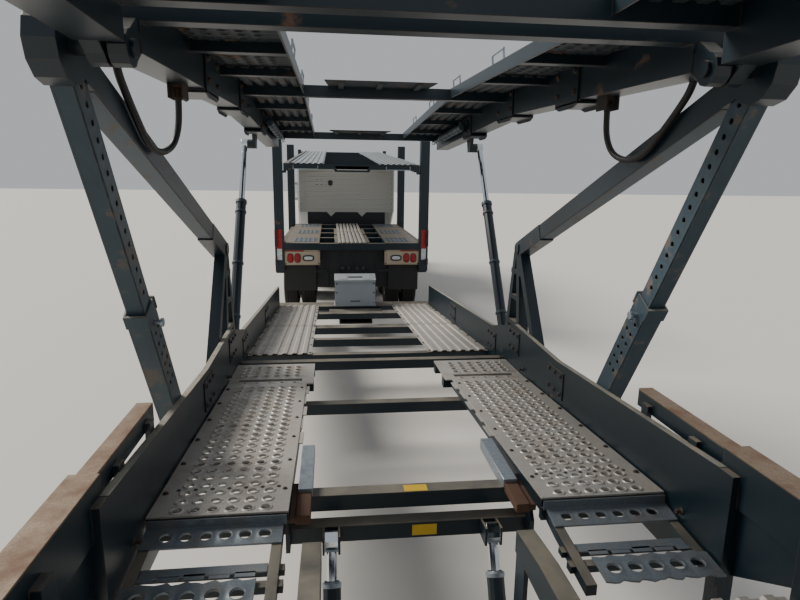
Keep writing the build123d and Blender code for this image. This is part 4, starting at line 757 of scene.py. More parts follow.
# Telescoping posts: a square tube with a row of pin holes on its inner face, in a wider sleeve
postSetup = {
    "foot": (-3.110, 1.180), "head": (-4.150, 2.900), "sleeveEnd": 0.42, "collarStart": 0.385, "end": 0.985,
    "tube": {"deep": 0.100, "inner": 1.200, "outer": 1.280},
    "sleeve": {"deep": 0.130, "inner": 1.190, "outer": 1.290},
    "holeRadius": 0.0125, "pitch": 0.066, "wall": 0.008, "sleevePitch": 0.072, "sleeveHoles": (-0.024, 0.024),
    "sleeveHoleRadius": 0.012, "collar": [(0.010, (1.187, 1.293), 0.070), (0.010, (1.187, 1.293), -0.070),
                                          (0.130, (1.284, 1.294), 0.0)],     # depth, across, offset
    "pin": [(0.0, 0.021), (0.012, 0.021), (0.014, 0.013), (0.055, 0.013)],
    "footPin": [(0.0, 0.050), (0.006, 0.050), (0.008, 0.045)],
}


def buildPosts(setup):
    shape, pins = bmesh.new(), bmesh.new()
    foot, head = Vector(setup["foot"]), Vector(setup["head"])
    length = (head - foot).length
    run = (head - foot).normalized()
    square = Vector((-run.y, run.x))
    tube, sleeve, wall = setup["tube"], setup["sleeve"], setup["wall"]
    mouth = setup["sleeveEnd"] * length
    low, high = mouth - 0.08, setup["end"] * length
    count = round((high - low) / setup["pitch"])
    cuts = [low + (high - low) * k / count for k in range(count + 1)]
    sleeveCuts = [0.0] + [0.30 + setup["sleevePitch"] * k for k in range(7)] + [mouth]

    def spotAt(along, off=0.0):
        return tuple(foot + run * along + square * off)

    for side in (-1, 1):
        for part, start, end in ((tube, low, high), (sleeve, 0.0, mouth)):
            deep, inner, outer = part["deep"], part["inner"], part["outer"]
            addBar(shape, spotAt(start), spotAt(end), deep, (outer - wall, outer), side)
            for edge in (deep / 2 - wall / 2, wall / 2 - deep / 2):
                addBar(shape, spotAt(start), spotAt(end), wall, (inner + 0.001, outer - wall + 0.001), side, edge)

        def onFace(inner):
            return lambda across, along, up: Vector((side * (inner - up), *spotAt(along, across)))

        half = tube["deep"] / 2
        addPierced(shape, onFace(tube["inner"]), [-half, half], cuts, lambda i, j: (
            0.0, (cuts[j] + cuts[j + 1]) / 2) if j > 1 else None, setup["holeRadius"], 0.0008, wall)
        half = sleeve["deep"] / 2
        addPierced(shape, onFace(sleeve["inner"]), [-half, 0.0, half], sleeveCuts, lambda i, j: (
            setup["sleeveHoles"][i], (sleeveCuts[j] + sleeveCuts[j + 1]) / 2) if 0 < j < 7 else None,
            setup["sleeveHoleRadius"], 0.0008, wall)
        # Collar at the mouth of the sleeve, with the pin through it
        for deep, across, offset in setup["collar"]:
            addBar(shape, spotAt(setup["collarStart"] * length), spotAt(mouth + 0.002), deep, across, side, offset)
        addLathe(pins, (side * 1.150, *spotAt(mouth - 0.10)), (side, 0, 0), setup["pin"], 16)
        addLathe(pins, (side * 1.183, *spotAt(0.0)), (side, 0, 0), setup["footPin"], 20)
    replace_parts(makePiece("piercedPosts", shape, "wornTeal", "trailer", 40), "pinned_posts")
    makePiece("postPins", pins, "galvanised", "trailer")


buildPosts(postSetup)
print("posts done")


# Swing arms: wider covers at their lower ends, worn top faces and capped head pins
armSetup = {
    "apex": (-1.500, 1.920), "head": (-4.150, 2.900), "cover": (-0.005, 0.19), "worn": (0.20, 0.93),
    "coverBars": [(0.008, (1.1865, 1.2935), 0.060), (0.118, (1.1865, 1.1900), 0.0), (0.118, (1.2900, 1.2940), 0.0)],
    "capRadii": {"apex": 0.055, "head": 0.105}, "capBolts": 6, "capBoltCircle": 0.085,
    "nipple": [(0, 0.008), (0.010, 0.008), (0.012, 0.004), (0.020, 0.004)],
}


def buildArmFittings(setup):
    covers, worn, caps = bmesh.new(), bmesh.new(), bmesh.new()
    apex, head = Vector(setup["apex"]), Vector(setup["head"])
    for side in (-1, 1):
        out = (side, 0, 0)
        start, end = (apex.lerp(head, share) for share in setup["cover"])
        for deep, across, offset in setup["coverBars"]:
            addBar(covers, start, end, deep, across, side, offset)
        start, end = (apex.lerp(head, share) for share in setup["worn"])
        addBar(worn, start, end, 0.002, (1.194, 1.286), side, 0.0555)
        for name, radius in setup["capRadii"].items():
            addLathe(caps, (side * 1.2895, *setup[name]), out, [
                (0, radius), (0.0035, radius), (0.005, radius - 0.004)], 40)
        addLathe(caps, (side * 1.1875, *apex), (-side, 0, 0), [(0, 0.050), (0.010, 0.050), (0.012, 0.046)], 32)
        for k in range(setup["capBolts"]):
            turn, circle = 2 * math.pi * k / setup["capBolts"], setup["capBoltCircle"]
            addLathe(caps, (side * 1.293, head.x + circle * math.cos(turn), head.y + circle * math.sin(turn)),
                     out, [(0, 0.009), (0.002, 0.009)], 6)
        addLathe(caps, (side * 1.240, apex.x, apex.y + 0.066), (0, 0.35, 1), setup["nipple"], 10)
    makePiece("armCovers", covers, "tealEnamel", "trailer", bevel=0.0015)
    makePiece("armWornTops", worn, "wornTeal", "trailer")
    makePiece("armCaps", caps, "tealEnamel", "trailer")


buildArmFittings(armSetup)
print("arms done")


# Upper beds: pierced and ribbed undersides, ribbed tops, sleeve plates on the side beams, and
# wire handles along the inner edges of the tracks
bedSetup = {
    "inner": 0.552, "outer": 0.998, "ribs": 5, "ribPitch": 0.084, "holePitch": (0.072, 0.085), "holeRadius": 0.018,
    "doublers": ((0.988, 1.000), (1.150, 1.158)), "handles": 4, "wire": 0.006,
    "beds": [
        {"name": "frontBed", "body": "front_bed", "line": [(-4.060, 3.090), (-1.600, 3.160), (1.450, 3.030)],
         "ends": (-4.030, 1.420), "pierced": (-3.960, -2.600),
         "sleeves": [(-2.85, 0.16), (-1.60, 0.20), (-0.30, 0.16)]},     # middle, half length
        {"name": "rearBed", "body": "rear_bed", "line": [(-12.150, 2.960), (-8.000, 3.160), (-4.240, 3.090)],
         "ends": (-12.120, -4.270), "pierced": None, "sleeves": [(-4.95, 0.18), (-7.70, 0.20), (-10.60, 0.18)]},
    ],
}


def addBedRibs(shape, line, side, low, high, up, thick, setup):
    cuts = [low] + [y for y, z in line if low < y < high] + [high]
    for start, end in zip(cuts, cuts[1:]):
        part = partOf(line, start, end)
        for k in range(setup["ribs"]):
            middle = setup["inner"] + 0.055 + setup["ribPitch"] * k
            addRun(shape, onLine(part, side), ribProfile(middle, 0.030, 0.018, up, up + thick), 0.0, lineLength(part))


def buildBed(bed, setup):
    name, body, line, (nearEnd, farEnd) = bed["name"], bed["body"], bed["line"], bed["ends"]
    under, top, plates, heads, wires = (bmesh.new() for _ in range(5))
    pitchX, pitchY = setup["holePitch"]
    for side in (-1, 1):
        ribsFrom = nearEnd
        if bed["pierced"]:
            ribsFrom = bed["pierced"][1] + 0.03
            part = partOf(line, *bed["pierced"])
            place, reach = onLine(part, side), lineLength(part)
            rows = round(reach / pitchY)
            xCuts = [setup["inner"] + 0.010] + [0.635 + pitchX * i for i in range(1, 5)] + [setup["outer"] - 0.002]
            yCuts = [reach * k / rows for k in range(rows + 1)]
            addPierced(under, lambda across, along, up: place(across, along, -0.0115 - up), xCuts, yCuts,
                       lambda i, j: (0.671 + pitchX * i, (yCuts[j] + yCuts[j + 1]) / 2),
                       setup["holeRadius"], 0.004, 0.003)
        addBedRibs(under, line, side, ribsFrom, farEnd, -0.008, -0.014, setup)
        addBedRibs(top, line, side, nearEnd, farEnd, 0.000, 0.012, setup)
        # Sleeve plates, doublers and bolts on the side beams
        for middle, half in bed["sleeves"]:
            z, low, high = heightOn(line, middle), middle - half, middle + half
            outline = [(low, z + 0.010), (high, z + 0.010), (high, z - 0.215),
                       (high - 0.06, z - 0.235), (low + 0.06, z - 0.235), (low, z - 0.215)]
            for across in setup["doublers"]:
                addPrism(plates, 0, across, outline, side)
            addBoxes(plates, [((0.988, 1.158), (low, high), (z - 0.215, z - 0.203))], side)
            for y in (low + 0.035, high - 0.035):
                for dz in (-0.04, -0.15):
                    addBolt(heads, (side * 0.988, y, z + dz), (-side, 0, 0), 0.026)
                    addBolt(heads, (side * 1.158, y, z + dz), (side, 0, 0), 0.022)
        wire = setup["wire"]
        for k in range(setup["handles"]):
            y = nearEnd + (farEnd - nearEnd) * (0.2 + 0.2 * k)
            z = heightOn(line, y)
            for dy in (-0.11, 0.11):
                foot = (side * 0.556, y + dy, z - 0.004)
                addLathe(wires, foot, (-side * 0.1, 0, 1), [(0, wire), (0.055, wire)], 10)
            addLathe(wires, (side * 0.551, y - 0.116, z + 0.050), (0, 1, 0), [(0, wire), (0.232, wire)], 10)
    makePiece(name + "Underside", under, "soiledTeal", body, 40)
    makePiece(name + "TopRibs", top, "wornPlate", body, 30)
    makePiece(name + "SleevePlates", plates, "tealEnamel", body, bevel=0.002)
    makePiece(name + "SleeveBolts", heads, "darkBolt", body)
    makePiece(name + "WireHandles", wires, "galvanised", body)


for bed in bedSetup["beds"]:
    buildBed(bed, bedSetup)


# Ringed cylinders under the side beams, inside the front bed
bedCylinders = {
    "across": 0.930, "start": (-0.35, 2.985), "end": (1.30, 2.915), "radius": 0.036, "bands": 5, "bandPitch": 0.22,
    "rodStart": 1.18, "rod": [(0.0, 0.020), (0.36, 0.020), (0.37, 0.030), (0.42, 0.030)], "hangers": (0.05, 1.12),
}


def buildBedCylinders(setup):
    barrel, rod = bmesh.new(), bmesh.new()
    wide, tip = setup["radius"], setup["rodStart"]
    profile = [(0.0, 0.030), (0.02, wide)]
    for k in range(setup["bands"]):
        at = 0.10 + setup["bandPitch"] * k
        profile += [(at, wide), (at + 0.004, 0.042), (at + 0.030, 0.042), (at + 0.034, wide)]
    profile += [(tip, wide), (tip + 0.01, 0.030)]
    for side in (-1, 1):
        start, end = (Vector((side * setup["across"], *setup[key])) for key in ("start", "end"))
        run = (end - start).normalized()
        addLathe(barrel, start, run, profile, 20)
        addLathe(rod, start + run * tip, run, setup["rod"], 16)
        for x, y, z in (start + run * at for at in setup["hangers"]):
            addBoxes(barrel, [((0.915, 1.000), (y - 0.02, y + 0.02), (z + 0.02, z + 0.060))], side)
    makePiece("bedCylinderBarrels", barrel, "wornTeal", "front_bed")
    makePiece("bedCylinderRods", rod, "rodChrome", "front_bed")


buildBedCylinders(bedCylinders)


# Plates between the tracks, over the through bars: y, z, and half widths at the near and far edges
centrePlates = [(-1.600, 3.148, 0.40, 0.37), (1.412, 3.020, 0.34, 0.31)]
plates = bmesh.new()
for y, z, near, far in centrePlates:
    addPrism(plates, 2, (z, z + 0.006), [(-near, y - 0.330), (near, y - 0.330), (far, y - 0.030), (-far, y - 0.030)])
    for x in (-0.28, 0.0, 0.28):
        addBoxes(plates, [((x - 0.020, x + 0.020), (y - 0.320, y + 0.020), (z - 0.016, z + 0.001))])
makePiece("centrePlates", plates, "soiledTeal", "front_bed", bevel=0.001)
print("beds done")


# Rails of the trailer: worn cap plates, lap plates at the bends, pin knobs and reflectors
railSetup = {
    "line": [(-4.300, 1.386), (-2.580, 1.279), (-1.640, 1.300), (-0.960, 1.120), (2.740, 0.830)],
    "rear": [(-12.050, 1.110), (-8.300, 1.455), (-4.270, 1.455)],
    "splices": (-2.58, -1.64, -0.96, 0.85), "knobs": 12, "markers": (-11.4, -10.1, -8.9, -7.5, -5.6, -4.5),
    "knob": [(0, 0.016), (0.006, 0.016), (0.008, 0.008), (0.022, 0.008), (0.024, 0.012), (0.032, 0.010)],
    # Outer plank ahead of the wide rail, with its sides and two brackets, and the gusset under that rail
    "plank": ((1.206, 1.280), (-4.268, -3.560), (1.437, 1.447)),
    "plankSides": [((1.206, 1.214), (-4.268, -3.560), (1.355, 1.438)),
                   ((1.272, 1.280), (-4.268, -3.560), (1.355, 1.438)),
                   ((1.183, 1.208), (-3.70, -3.64), (1.300, 1.400)),
                   ((1.183, 1.208), (-4.10, -4.04), (1.320, 1.400))],
    "gusset": [(-4.272, 1.256), (-4.272, 0.960), (-4.33, 0.930), (-4.90, 1.256)],
}


def buildRails(setup):
    worn, rusty, laps, heads, lights = (bmesh.new() for _ in range(5))
    line, rear = setup["line"], setup["rear"]
    for side in (-1, 1):
        addPrism(worn, 0, (1.153, 1.187), line + [(y, z + 0.0025) for y, z in reversed(line)], side)
        addPrism(rusty, 0, (1.186, 1.2945), rear + [(y, z + 0.005) for y, z in reversed(rear)], side)
        for y in setup["splices"]:
            z = heightOn(line, y)
            addBoxes(laps, [((1.148, 1.1555), (y - 0.14, y + 0.14), (z - 0.235, z - 0.045))], side)
            for dy in (-0.10, 0.0, 0.10):
                for dz in (-0.075, -0.200):
                    addBolt(heads, (side * 1.148, y + dy, z + dz), (-side, 0, 0), 0.022)
        for k in range(setup["knobs"]):
            y = -4.10 + 0.55 * k
            addLathe(heads, (side * 1.156, y, heightOn(line, y) - 0.30), (-side, 0, 0), setup["knob"], 12)
        for y in setup["markers"]:
            z = heightOn(rear, y) - 0.10
            addBoxes(lights, [((1.2925, 1.2948), (y - 0.055, y + 0.055), (z - 0.022, z + 0.022))], side)
        addBoxes(rusty, [setup["plank"]], side)
        addBoxes(laps, setup["plankSides"], side)
        addPrism(laps, 0, (1.200, 1.212), setup["gusset"], side)
    makePiece("railWornTops", worn, "wornTeal", "trailer")
    makePiece("railRustedTops", rusty, "rustedPlate", "trailer", bevel=0.002)
    makePiece("railLapPlates", laps, "tealEnamel", "trailer", bevel=0.0015)
    makePiece("railBolts", heads, "darkBolt", "trailer")
    makePiece("sideMarkers", lights, "redAcrylic", "trailer")


buildRails(railSetup)


# Lifts: clevises on the lower rods, gland nuts and bands on the barrels, and two blank labels
liftSetup = {
    "foot": (-4.110, 0.330), "eye": (-3.830, 0.845), "cheeks": ((0.348, 0.356), (0.404, 0.412)), "glandAt": 0.392,
    "gland": [(0.0, 0.034), (0.0, 0.044), (0.018, 0.044), (0.022, 0.038), (0.026, 0.034)],
    "bands": [  # lift, foot, eye, barrel's length, barrel's radius
        ("front", (-1.050, 1.100), (0.150, 2.810), 1.400, 0.048),
        ("rear", (-6.870, 1.512), (-6.900, 2.860), 0.830, 0.042)],
    "labels": [((0.005, 0.125), (-3.7712, -3.7698), (0.812, 0.868)),
               ((-0.025, 0.090), (-3.700, -3.640), (1.0038, 1.0052))],
}


def buildLiftFittings(setup):
    clevis, glands, labels = bmesh.new(), bmesh.new(), bmesh.new()
    foot, eye = Vector(setup["foot"]), Vector(setup["eye"])
    run = (eye - foot).normalized()
    for side in (-1, 1):
        for cheek in setup["cheeks"]:
            addBar(clevis, eye - run * 0.040, eye + run * 0.030, 0.056, cheek, side)
        addBar(clevis, eye - run * 0.044, eye - run * 0.033, 0.058, (0.348, 0.412), side)
        addLathe(glands, (side * 0.380, *(foot + run * setup["glandAt"])), (0, *run), setup["gland"], 24, ringed=True)
    makePiece("rodClevises", clevis, "galvanised", "lower_lift_rods", bevel=0.002)
    makePiece("barrelGlands", glands, "galvanised", "lower_lift_barrels")
    for name, foot, eye, length, radius in setup["bands"]:
        rings = bmesh.new()
        run = (Vector(eye) - Vector(foot)).normalized()
        for along, wide in ((0.16, 0.020), (length * 0.5, 0.020), (length - 0.14, 0.020), (length - 0.035, 0.034)):
            band = [(0.0, radius - 0.003), (0.0, radius), (0.003, radius + 0.006), (wide, radius + 0.006),
                    (wide + 0.003, radius), (wide + 0.003, radius - 0.003)]
            for side in (-1, 1):
                addLathe(rings, (side * 1.238, *(Vector(foot) + run * along)), (0, *run), band, 28, ringed=True)
        makePiece(name + "BarrelRings", rings, "wornTeal", name + "_lift_barrels")
    addBoxes(labels, setup["labels"])
    makePiece("blankLabels", labels, "labelVinyl", "lower_bed")


buildLiftFittings(liftSetup)
print("rails and lifts done")


# A flat oval, as the lamps have; dome raises its middle outline
def addOval(shape, spot, halfAcross, halfUp, back, front, dome=0.0, sides=28):
    rows = []
    for y, share in ((back, 1.0), (front + dome, 1.0), (front + dome * 0.3, 0.86), (front, 0.55)):
        row = []
        for k in range(sides):
            cosine, sine = math.cos(2 * math.pi * k / sides), math.sin(2 * math.pi * k / sides)
            row.append(shape.verts.new((
                spot[0] + math.copysign(abs(cosine) ** 0.75, cosine) * halfAcross * share, y,
                spot[1] + math.copysign(abs(sine) ** 0.75, sine) * halfUp * share)))
        rows.append(row)
    joinRows(shape, rows, capped=True)


# Rear of the tractor: oval lamps in bezels, red strips, reflecting strips on the posts, and the
# dark guard in the middle with its couplings
rearSetup = {
    "lampHeight": 1.130, "redLamps": (1.045, 0.925), "whiteLamp": 0.745,
    "redStrip": ((0.820, 1.115), (3.7585, 3.7645), (1.243, 1.261)),
    "postRed": ((1.175, 1.265), (3.7435, 3.7495), (1.290, 1.610)),
    "postWhite": ((1.180, 1.260), (3.7435, 3.7495), (1.100, 1.288)),
    "screws": ((0.566, 1.030), (1.124, 1.030), (0.566, 1.250), (1.124, 1.250)),
    "brackets": [((1.262, 1.2945), (3.70, 3.752), (1.33, 1.62)), ((1.255, 1.2945), (3.70, 3.752), (1.02, 1.12))],
    "couplings": (-0.17, -0.06, 0.08, 0.19),
    "coupling": [(0.0, 0.032), (0.030, 0.032), (0.034, 0.024), (0.070, 0.024), (0.074, 0.030), (0.090, 0.028)],
    "guard": [((-0.600, 0.600), (3.905, 3.913), (0.600, 1.300)), ((-0.590, 0.590), (3.880, 3.906), (1.262, 1.300))],
    "guardBars": (-0.42, -0.21, 0.0, 0.21, 0.42),
}


def buildTractorRear(setup):
    red, clear, bezels, white, strips, heads, guard = (bmesh.new() for _ in range(7))
    z = setup["lampHeight"]
    for side in (-1, 1):
        for x in setup["redLamps"]:
            addOval(red, (side * x, z), 0.046, 0.074, 3.762, 3.738, 0.012)
            addOval(bezels, (side * x, z), 0.054, 0.082, 3.762, 3.7500)
        addOval(bezels, (side * setup["whiteLamp"], z), 0.098, 0.052, 3.762, 3.7450)
        addOval(clear, (side * setup["whiteLamp"], z), 0.072, 0.030, 3.760, 3.7390, 0.006)
        addBoxes(red, [setup["redStrip"]], side)
        addBoxes(strips, [setup["postRed"]], side)
        addBoxes(white, [setup["postWhite"]], side)
        addBoxes(bezels, setup["brackets"], side)
        for x, height in setup["screws"]:
            addBolt(heads, (side * x, 3.765, height), (0, -1, 0), 0.016)
    for x in setup["couplings"]:
        addLathe(bezels, (x, 3.925, 0.93), (0, -1, 0.15), setup["coupling"], 18)
    bars = [((x - 0.012, x + 0.012), (3.885, 3.906), (0.62, 1.29)) for x in setup["guardBars"]]
    addBoxes(guard, setup["guard"] + bars)
    makePiece("rearGuard", guard, "chassisBlack", "tractor", bevel=0.002)
    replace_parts(makePiece("rearLamps", red, "redAcrylic", "tractor", 50), "tractor_lamps")
    makePiece("reversingLamps", clear, "whiteReflector", "tractor", 50)
    makePiece("lampBezels", bezels, "trimPlastic", "tractor", 50)
    makePiece("postStripsRed", strips, "redAcrylic", "tractor")
    makePiece("postStripsWhite", white, "whiteReflector", "tractor")
    makePiece("lampBoxScrews", heads, "darkBolt", "tractor")


buildTractorRear(rearSetup)


# Tractor deck: ribbed walkway in the middle, pierced panels on the runways
deckSetup = {
    "line": [(3.760, 1.3842), (7.140, 1.4398)], "ribs": 7, "ribPitch": 0.072, "ribHigh": 0.014,
    "panelStarts": (0.16, 1.45, 2.70), "panelInner": 0.600, "panelThick": 0.0045,
    "holePitch": 0.080, "holeRadius": 0.021,
}


def buildDeckTop(setup):
    ribs, panels = bmesh.new(), bmesh.new()
    line, pitch, thick = setup["line"], setup["holePitch"], setup["panelThick"]
    reach = lineLength(line)
    for k in range(setup["ribs"]):
        profile = ribProfile(-0.216 + setup["ribPitch"] * k, 0.026, 0.017, 0.0, setup["ribHigh"])
        for start, end in ((0.0, reach * 0.48), (reach * 0.50, reach)):
            addRun(ribs, onLine(line), profile, start, end)
    xCuts = [setup["panelInner"] + pitch * i for i in range(6)]
    for side in (-1, 1):
        place = onLine(line, side)
        for start in setup["panelStarts"]:
            yCuts = [start + pitch * j for j in range(8)]
            addPierced(panels, lambda across, along, up: place(across, along, up + thick), xCuts, yCuts,
                       lambda i, j: (xCuts[i] + pitch / 2, yCuts[j] + pitch / 2), setup["holeRadius"], 0.004, thick)
    makePiece("deckWalkway", ribs, "wornPlate", "tractor", 30)
    makePiece("deckPanels", panels, "greySteel", "tractor", 40)


buildDeckTop(deckSetup)


# Silver housing over the hitch: its raised lid, the dark slot, the grip and the seams
housingSetup = {
    "low": (2.680, 0.930), "high": (2.860, 1.000),
    "seams": [((-0.322, 0.322), (2.655, 2.990), (0.528, 0.545)), ((-0.314, 0.314), (2.662, 2.668), (0.905, 0.925))],
    "slot": ((-0.075, 0.075), (2.6605, 2.6645), (0.600, 0.616)),
    "grip": ((0.308, 0.3115), (2.76, 2.90), (0.70, 0.80)),
    "screws": (0.58, 0.74, 0.88),
}


def buildHousing(setup):
    lid, dark = bmesh.new(), bmesh.new()
    low, high = Vector(setup["low"]), Vector(setup["high"])
    run = (high - low).normalized()
    addBar(lid, low - run * 0.010, high + run * 0.004, 0.006, (-0.318, 0.318), offset=0.004)
    addBar(dark, low + run * 0.070, low + run * 0.102, 0.003, (-0.105, 0.115), offset=0.0085)
    addBoxes(lid, setup["seams"])
    addBoxes(dark, [setup["slot"]])
    for side in (-1, 1):
        addBar(lid, low + run * 0.022, high - run * 0.020, 0.006, (0.120, 0.262), side, 0.009)
        addBoxes(dark, [setup["grip"]], side)
        for z in setup["screws"]:
            addBolt(dark, (side * 0.285, 2.668, z), (0, -1, 0), 0.014)
    makePiece("housingLid", lid, "silverEnamel", "trailer", bevel=0.002)
    makePiece("housingSlots", dark, "trimPlastic", "trailer")


buildHousing(housingSetup)


# Head rack: the drop frame and loop handles on its rear edge, bolts along its beams, and the
# edge strips that guide a wheel along both sides of the runway
rackSetup = {
    "line": [(3.770, 2.690), (11.820, 3.190)],
    "dropOuter": [(-0.340, 2.672), (0.340, 2.672), (0.285, 2.560), (-0.285, 2.560)],
    "dropInner": [(-0.295, 2.672), (0.295, 2.672), (0.250, 2.590), (-0.250, 2.590)],
    "dropPanel": [(-0.295, 2.655), (0.295, 2.655), (0.262, 2.590), (-0.262, 2.590)],
    "handles": [((0.560, 0.572), (3.750, 3.775), (2.600, 2.660)), ((0.960, 0.972), (3.750, 3.775), (2.600, 2.660)),
                ((0.560, 0.972), (3.750, 3.762), (2.596, 2.610))],
    "bolts": 18, "strips": ((0.468, 0.478), (1.028, 1.038)),
    "stripSide": [(3.78, 2.692), (11.80, 3.190), (11.80, 3.222), (3.78, 2.724)],
}


def buildRack(setup):
    drop, panel, handles, heads = (bmesh.new() for _ in range(4))
    outer, inner = setup["dropOuter"], setup["dropInner"]
    for a, b in ((0, 3), (3, 2), (2, 1)):
        addPrism(drop, 1, (3.770, 3.800), [outer[a], outer[b], inner[b], inner[a]])
    addPrism(panel, 1, (3.780, 3.786), setup["dropPanel"])
    for side in (-1, 1):
        addBoxes(handles, setup["handles"], side)
        for k in range(setup["bolts"]):
            y = 4.0 + 0.45 * k
            z = heightOn(setup["line"], y)
            addBolt(heads, (side * 1.125, y, z - 0.055), (side, 0, 0), 0.022)
            addBolt(heads, (side * 1.040, y, z - 0.075), (-side, 0, 0), 0.022)
        for across in setup["strips"]:
            addPrism(handles, 0, across, setup["stripSide"], side)
    makePiece("rackDropFrame", drop, "tealEnamel", "head_rack", bevel=0.003)
    makePiece("rackDropPanel", panel, "cabEnamel", "head_rack")
    makePiece("rackHandles", handles, "galvanised", "head_rack", bevel=0.001)
    makePiece("rackBolts", heads, "darkBolt", "head_rack")


buildRack(rackSetup)
print("tractor rear, housing and rack done")


# Cab: seals, handles, wipers, roof markers, vents, the fittings of its back wall, and a dark sheet of painted shade
# on that wall
cabSetup = {
    "sleeperSeal": [((1.086, 1.096), (7.88, 8.32), (2.375, 2.400)), ((1.086, 1.096), (7.88, 8.32), (1.960, 1.985)),
                    ((1.086, 1.096), (7.88, 7.905), (1.96, 2.40)), ((1.086, 1.096), (8.295, 8.32), (1.96, 2.40)),
                    ((1.078, 1.084), (7.90, 8.30), (1.98, 2.38))],
    "ventSlats": 6, "railFeet": (1.37, 1.87, 2.37),
    "toolbox": ((1.088, 1.094), (7.48, 8.20), (1.74, 1.92)), "latch": ((1.093, 1.102), (7.80, 7.90), (1.80, 1.835)),
    "sunShade": ((0.0, 1.02), (9.470, 9.600), (2.660, 2.690)),
    "screenTop": (9.500, 2.700), "screenFoot": (9.980, 1.930), "screenShares": (0.010, 0.040, 0.470, 0.965, 0.995),
    # start and end among the shares, depth, across, offset: the seal's three bars, then the wiper's two
    "screenBars": [(0, 4, 0.010, (0.966, 0.994), 0.007), (0, 1, 0.010, (0.0, 0.966), 0.007),
                   (3, 4, 0.010, (0.0, 0.966), 0.007), (2, 3, 0.012, (0.300, 0.312), 0.024),
                   (2, 3, 0.008, (0.288, 0.300), 0.018)],
    "markers": (-0.80, -0.40, 0.0, 0.40, 0.80),
    "marker": [(0.0, 0.040), (0.022, 0.038), (0.036, 0.022), (0.040, 0.006)],
    "backRivet": [(0.0, 0.012), (0.004, 0.010), (0.006, 0.004)],
    # Dark sheet over the lower back wall of the cab: painted shade, not a part of the cab
    "shadeSheet": ((-0.880, 0.880), (7.3925, 7.3995), (1.160, 1.690)),
    "triangle": [(0.24, 1.700), (0.46, 1.700), (0.35, 1.590)], "backRivets": 8,
    "cap": [(0.0, 0.060), (0.012, 0.060), (0.016, 0.048), (0.028, 0.044)],
    "studs": ((-0.66, 2.42), (-0.56, 2.42), (-0.66, 2.30), (-0.56, 2.30), (-0.30, 2.56), (0.34, 2.55)),
    "doorTrim": [((1.088, 1.097), (8.72, 8.90), (1.72, 1.79)), ((1.096, 1.112), (8.73, 8.89), (1.745, 1.765)),
                 ((1.088, 1.096), (8.745, 8.775), (1.865, 2.555)), ((1.088, 1.096), (8.745, 9.40), (2.530, 2.555)),
                 ((1.088, 1.096), (8.745, 9.80), (1.862, 1.885)), ((1.088, 1.096), (9.788, 9.812), (1.865, 1.955))],
    "doorSlope": [(9.800, 1.950), (9.825, 1.950), (9.420, 2.558), (9.395, 2.535)],
    "mirrorGlass": ((1.142, 1.274), (9.5345, 9.5405), (1.930, 2.260)),
}


def buildCab(setup):
    trim, bright, amber, skins, shadeSheet = (bmesh.new() for _ in range(5))
    top, foot = Vector(setup["screenTop"]), Vector(setup["screenFoot"])
    screen = [top.lerp(foot, share) for share in setup["screenShares"]]
    back = (0, -1, 0)
    for side in (-1, 1):
        addBoxes(trim, setup["sleeperSeal"], side)
        addBoxes(trim, [((1.088, 1.094), (7.56, 7.78), (2.05 + 0.045 * k, 2.070 + 0.045 * k))
                        for k in range(setup["ventSlats"])], side)
        # Grab rail behind the door, on its three feet
        addLathe(bright, (side * 1.135, 8.60, 1.35), (0, 0, 1), [(0.0, 0.016), (1.05, 0.016)], 14)
        for z in setup["railFeet"]:
            addLathe(bright, (side * 1.085, 8.60, z), (side, 0, 0), [(0.0, 0.018), (0.050, 0.012)], 12)
        addBoxes(skins, [setup["toolbox"], setup["sunShade"]], side)
        addBoxes(bright, [setup["latch"]], side)
        for start, end, deep, across, offset in setup["screenBars"]:
            addBar(trim, screen[start], screen[end], deep, across, side, offset)
        # Back wall: a triangular bracket over the dark sheet of painted shade, and the rivets of the corner
        addPrism(skins, 1, (7.380, 7.402), setup["triangle"], side)
        for k in range(setup["backRivets"]):
            addLathe(bright, (side * 1.02, 7.403, 1.76 + 0.115 * k), back, setup["backRivet"], 10)
    for x in setup["markers"]:
        addLathe(amber, (x, 9.25, 2.778), (0, 0, 1), setup["marker"], 18)
    # Painted shade: a thin flat-black sheet laid on the lower back wall
    addBoxes(shadeSheet, [setup["shadeSheet"]])
    addLathe(trim, (-0.36, 7.402, 2.34), back, setup["cap"], 28)
    for x, z in setup["studs"]:
        addLathe(trim, (x, 7.402, z), back, [(0.0, 0.014), (0.006, 0.012)], 10)
    # The sheet of painted shade, in flat black enamel on the tractor
    makePiece("cabPaintedShade", shadeSheet, "chassisBlack", "tractor", bevel=0.002)
    makePiece("cabTrim", trim, "trimPlastic", "tractor", bevel=0.0015)
    makePiece("cabBrightwork", bright, "bumperChrome", "tractor")
    makePiece("roofMarkers", amber, "amberAcrylic", "tractor")
    makePiece("cabPanels", skins, "cabEnamel", "tractor", bevel=0.003)
    # Doors: handle, window seal and mirror glass, on each door's own body
    for name, side in sideNames.items():
        door = name + "_door"
        handle, glass = bmesh.new(), bmesh.new()
        addBoxes(handle, setup["doorTrim"], side)
        addPrism(handle, 0, (1.088, 1.096), setup["doorSlope"], side)
        addBoxes(glass, [setup["mirrorGlass"]], side)
        makePiece(door + "_trim", handle, "trimPlastic", door, bevel=0.002)
        makePiece(door + "_mirrorGlass", glass, "rodChrome", door)


buildCab(cabSetup)


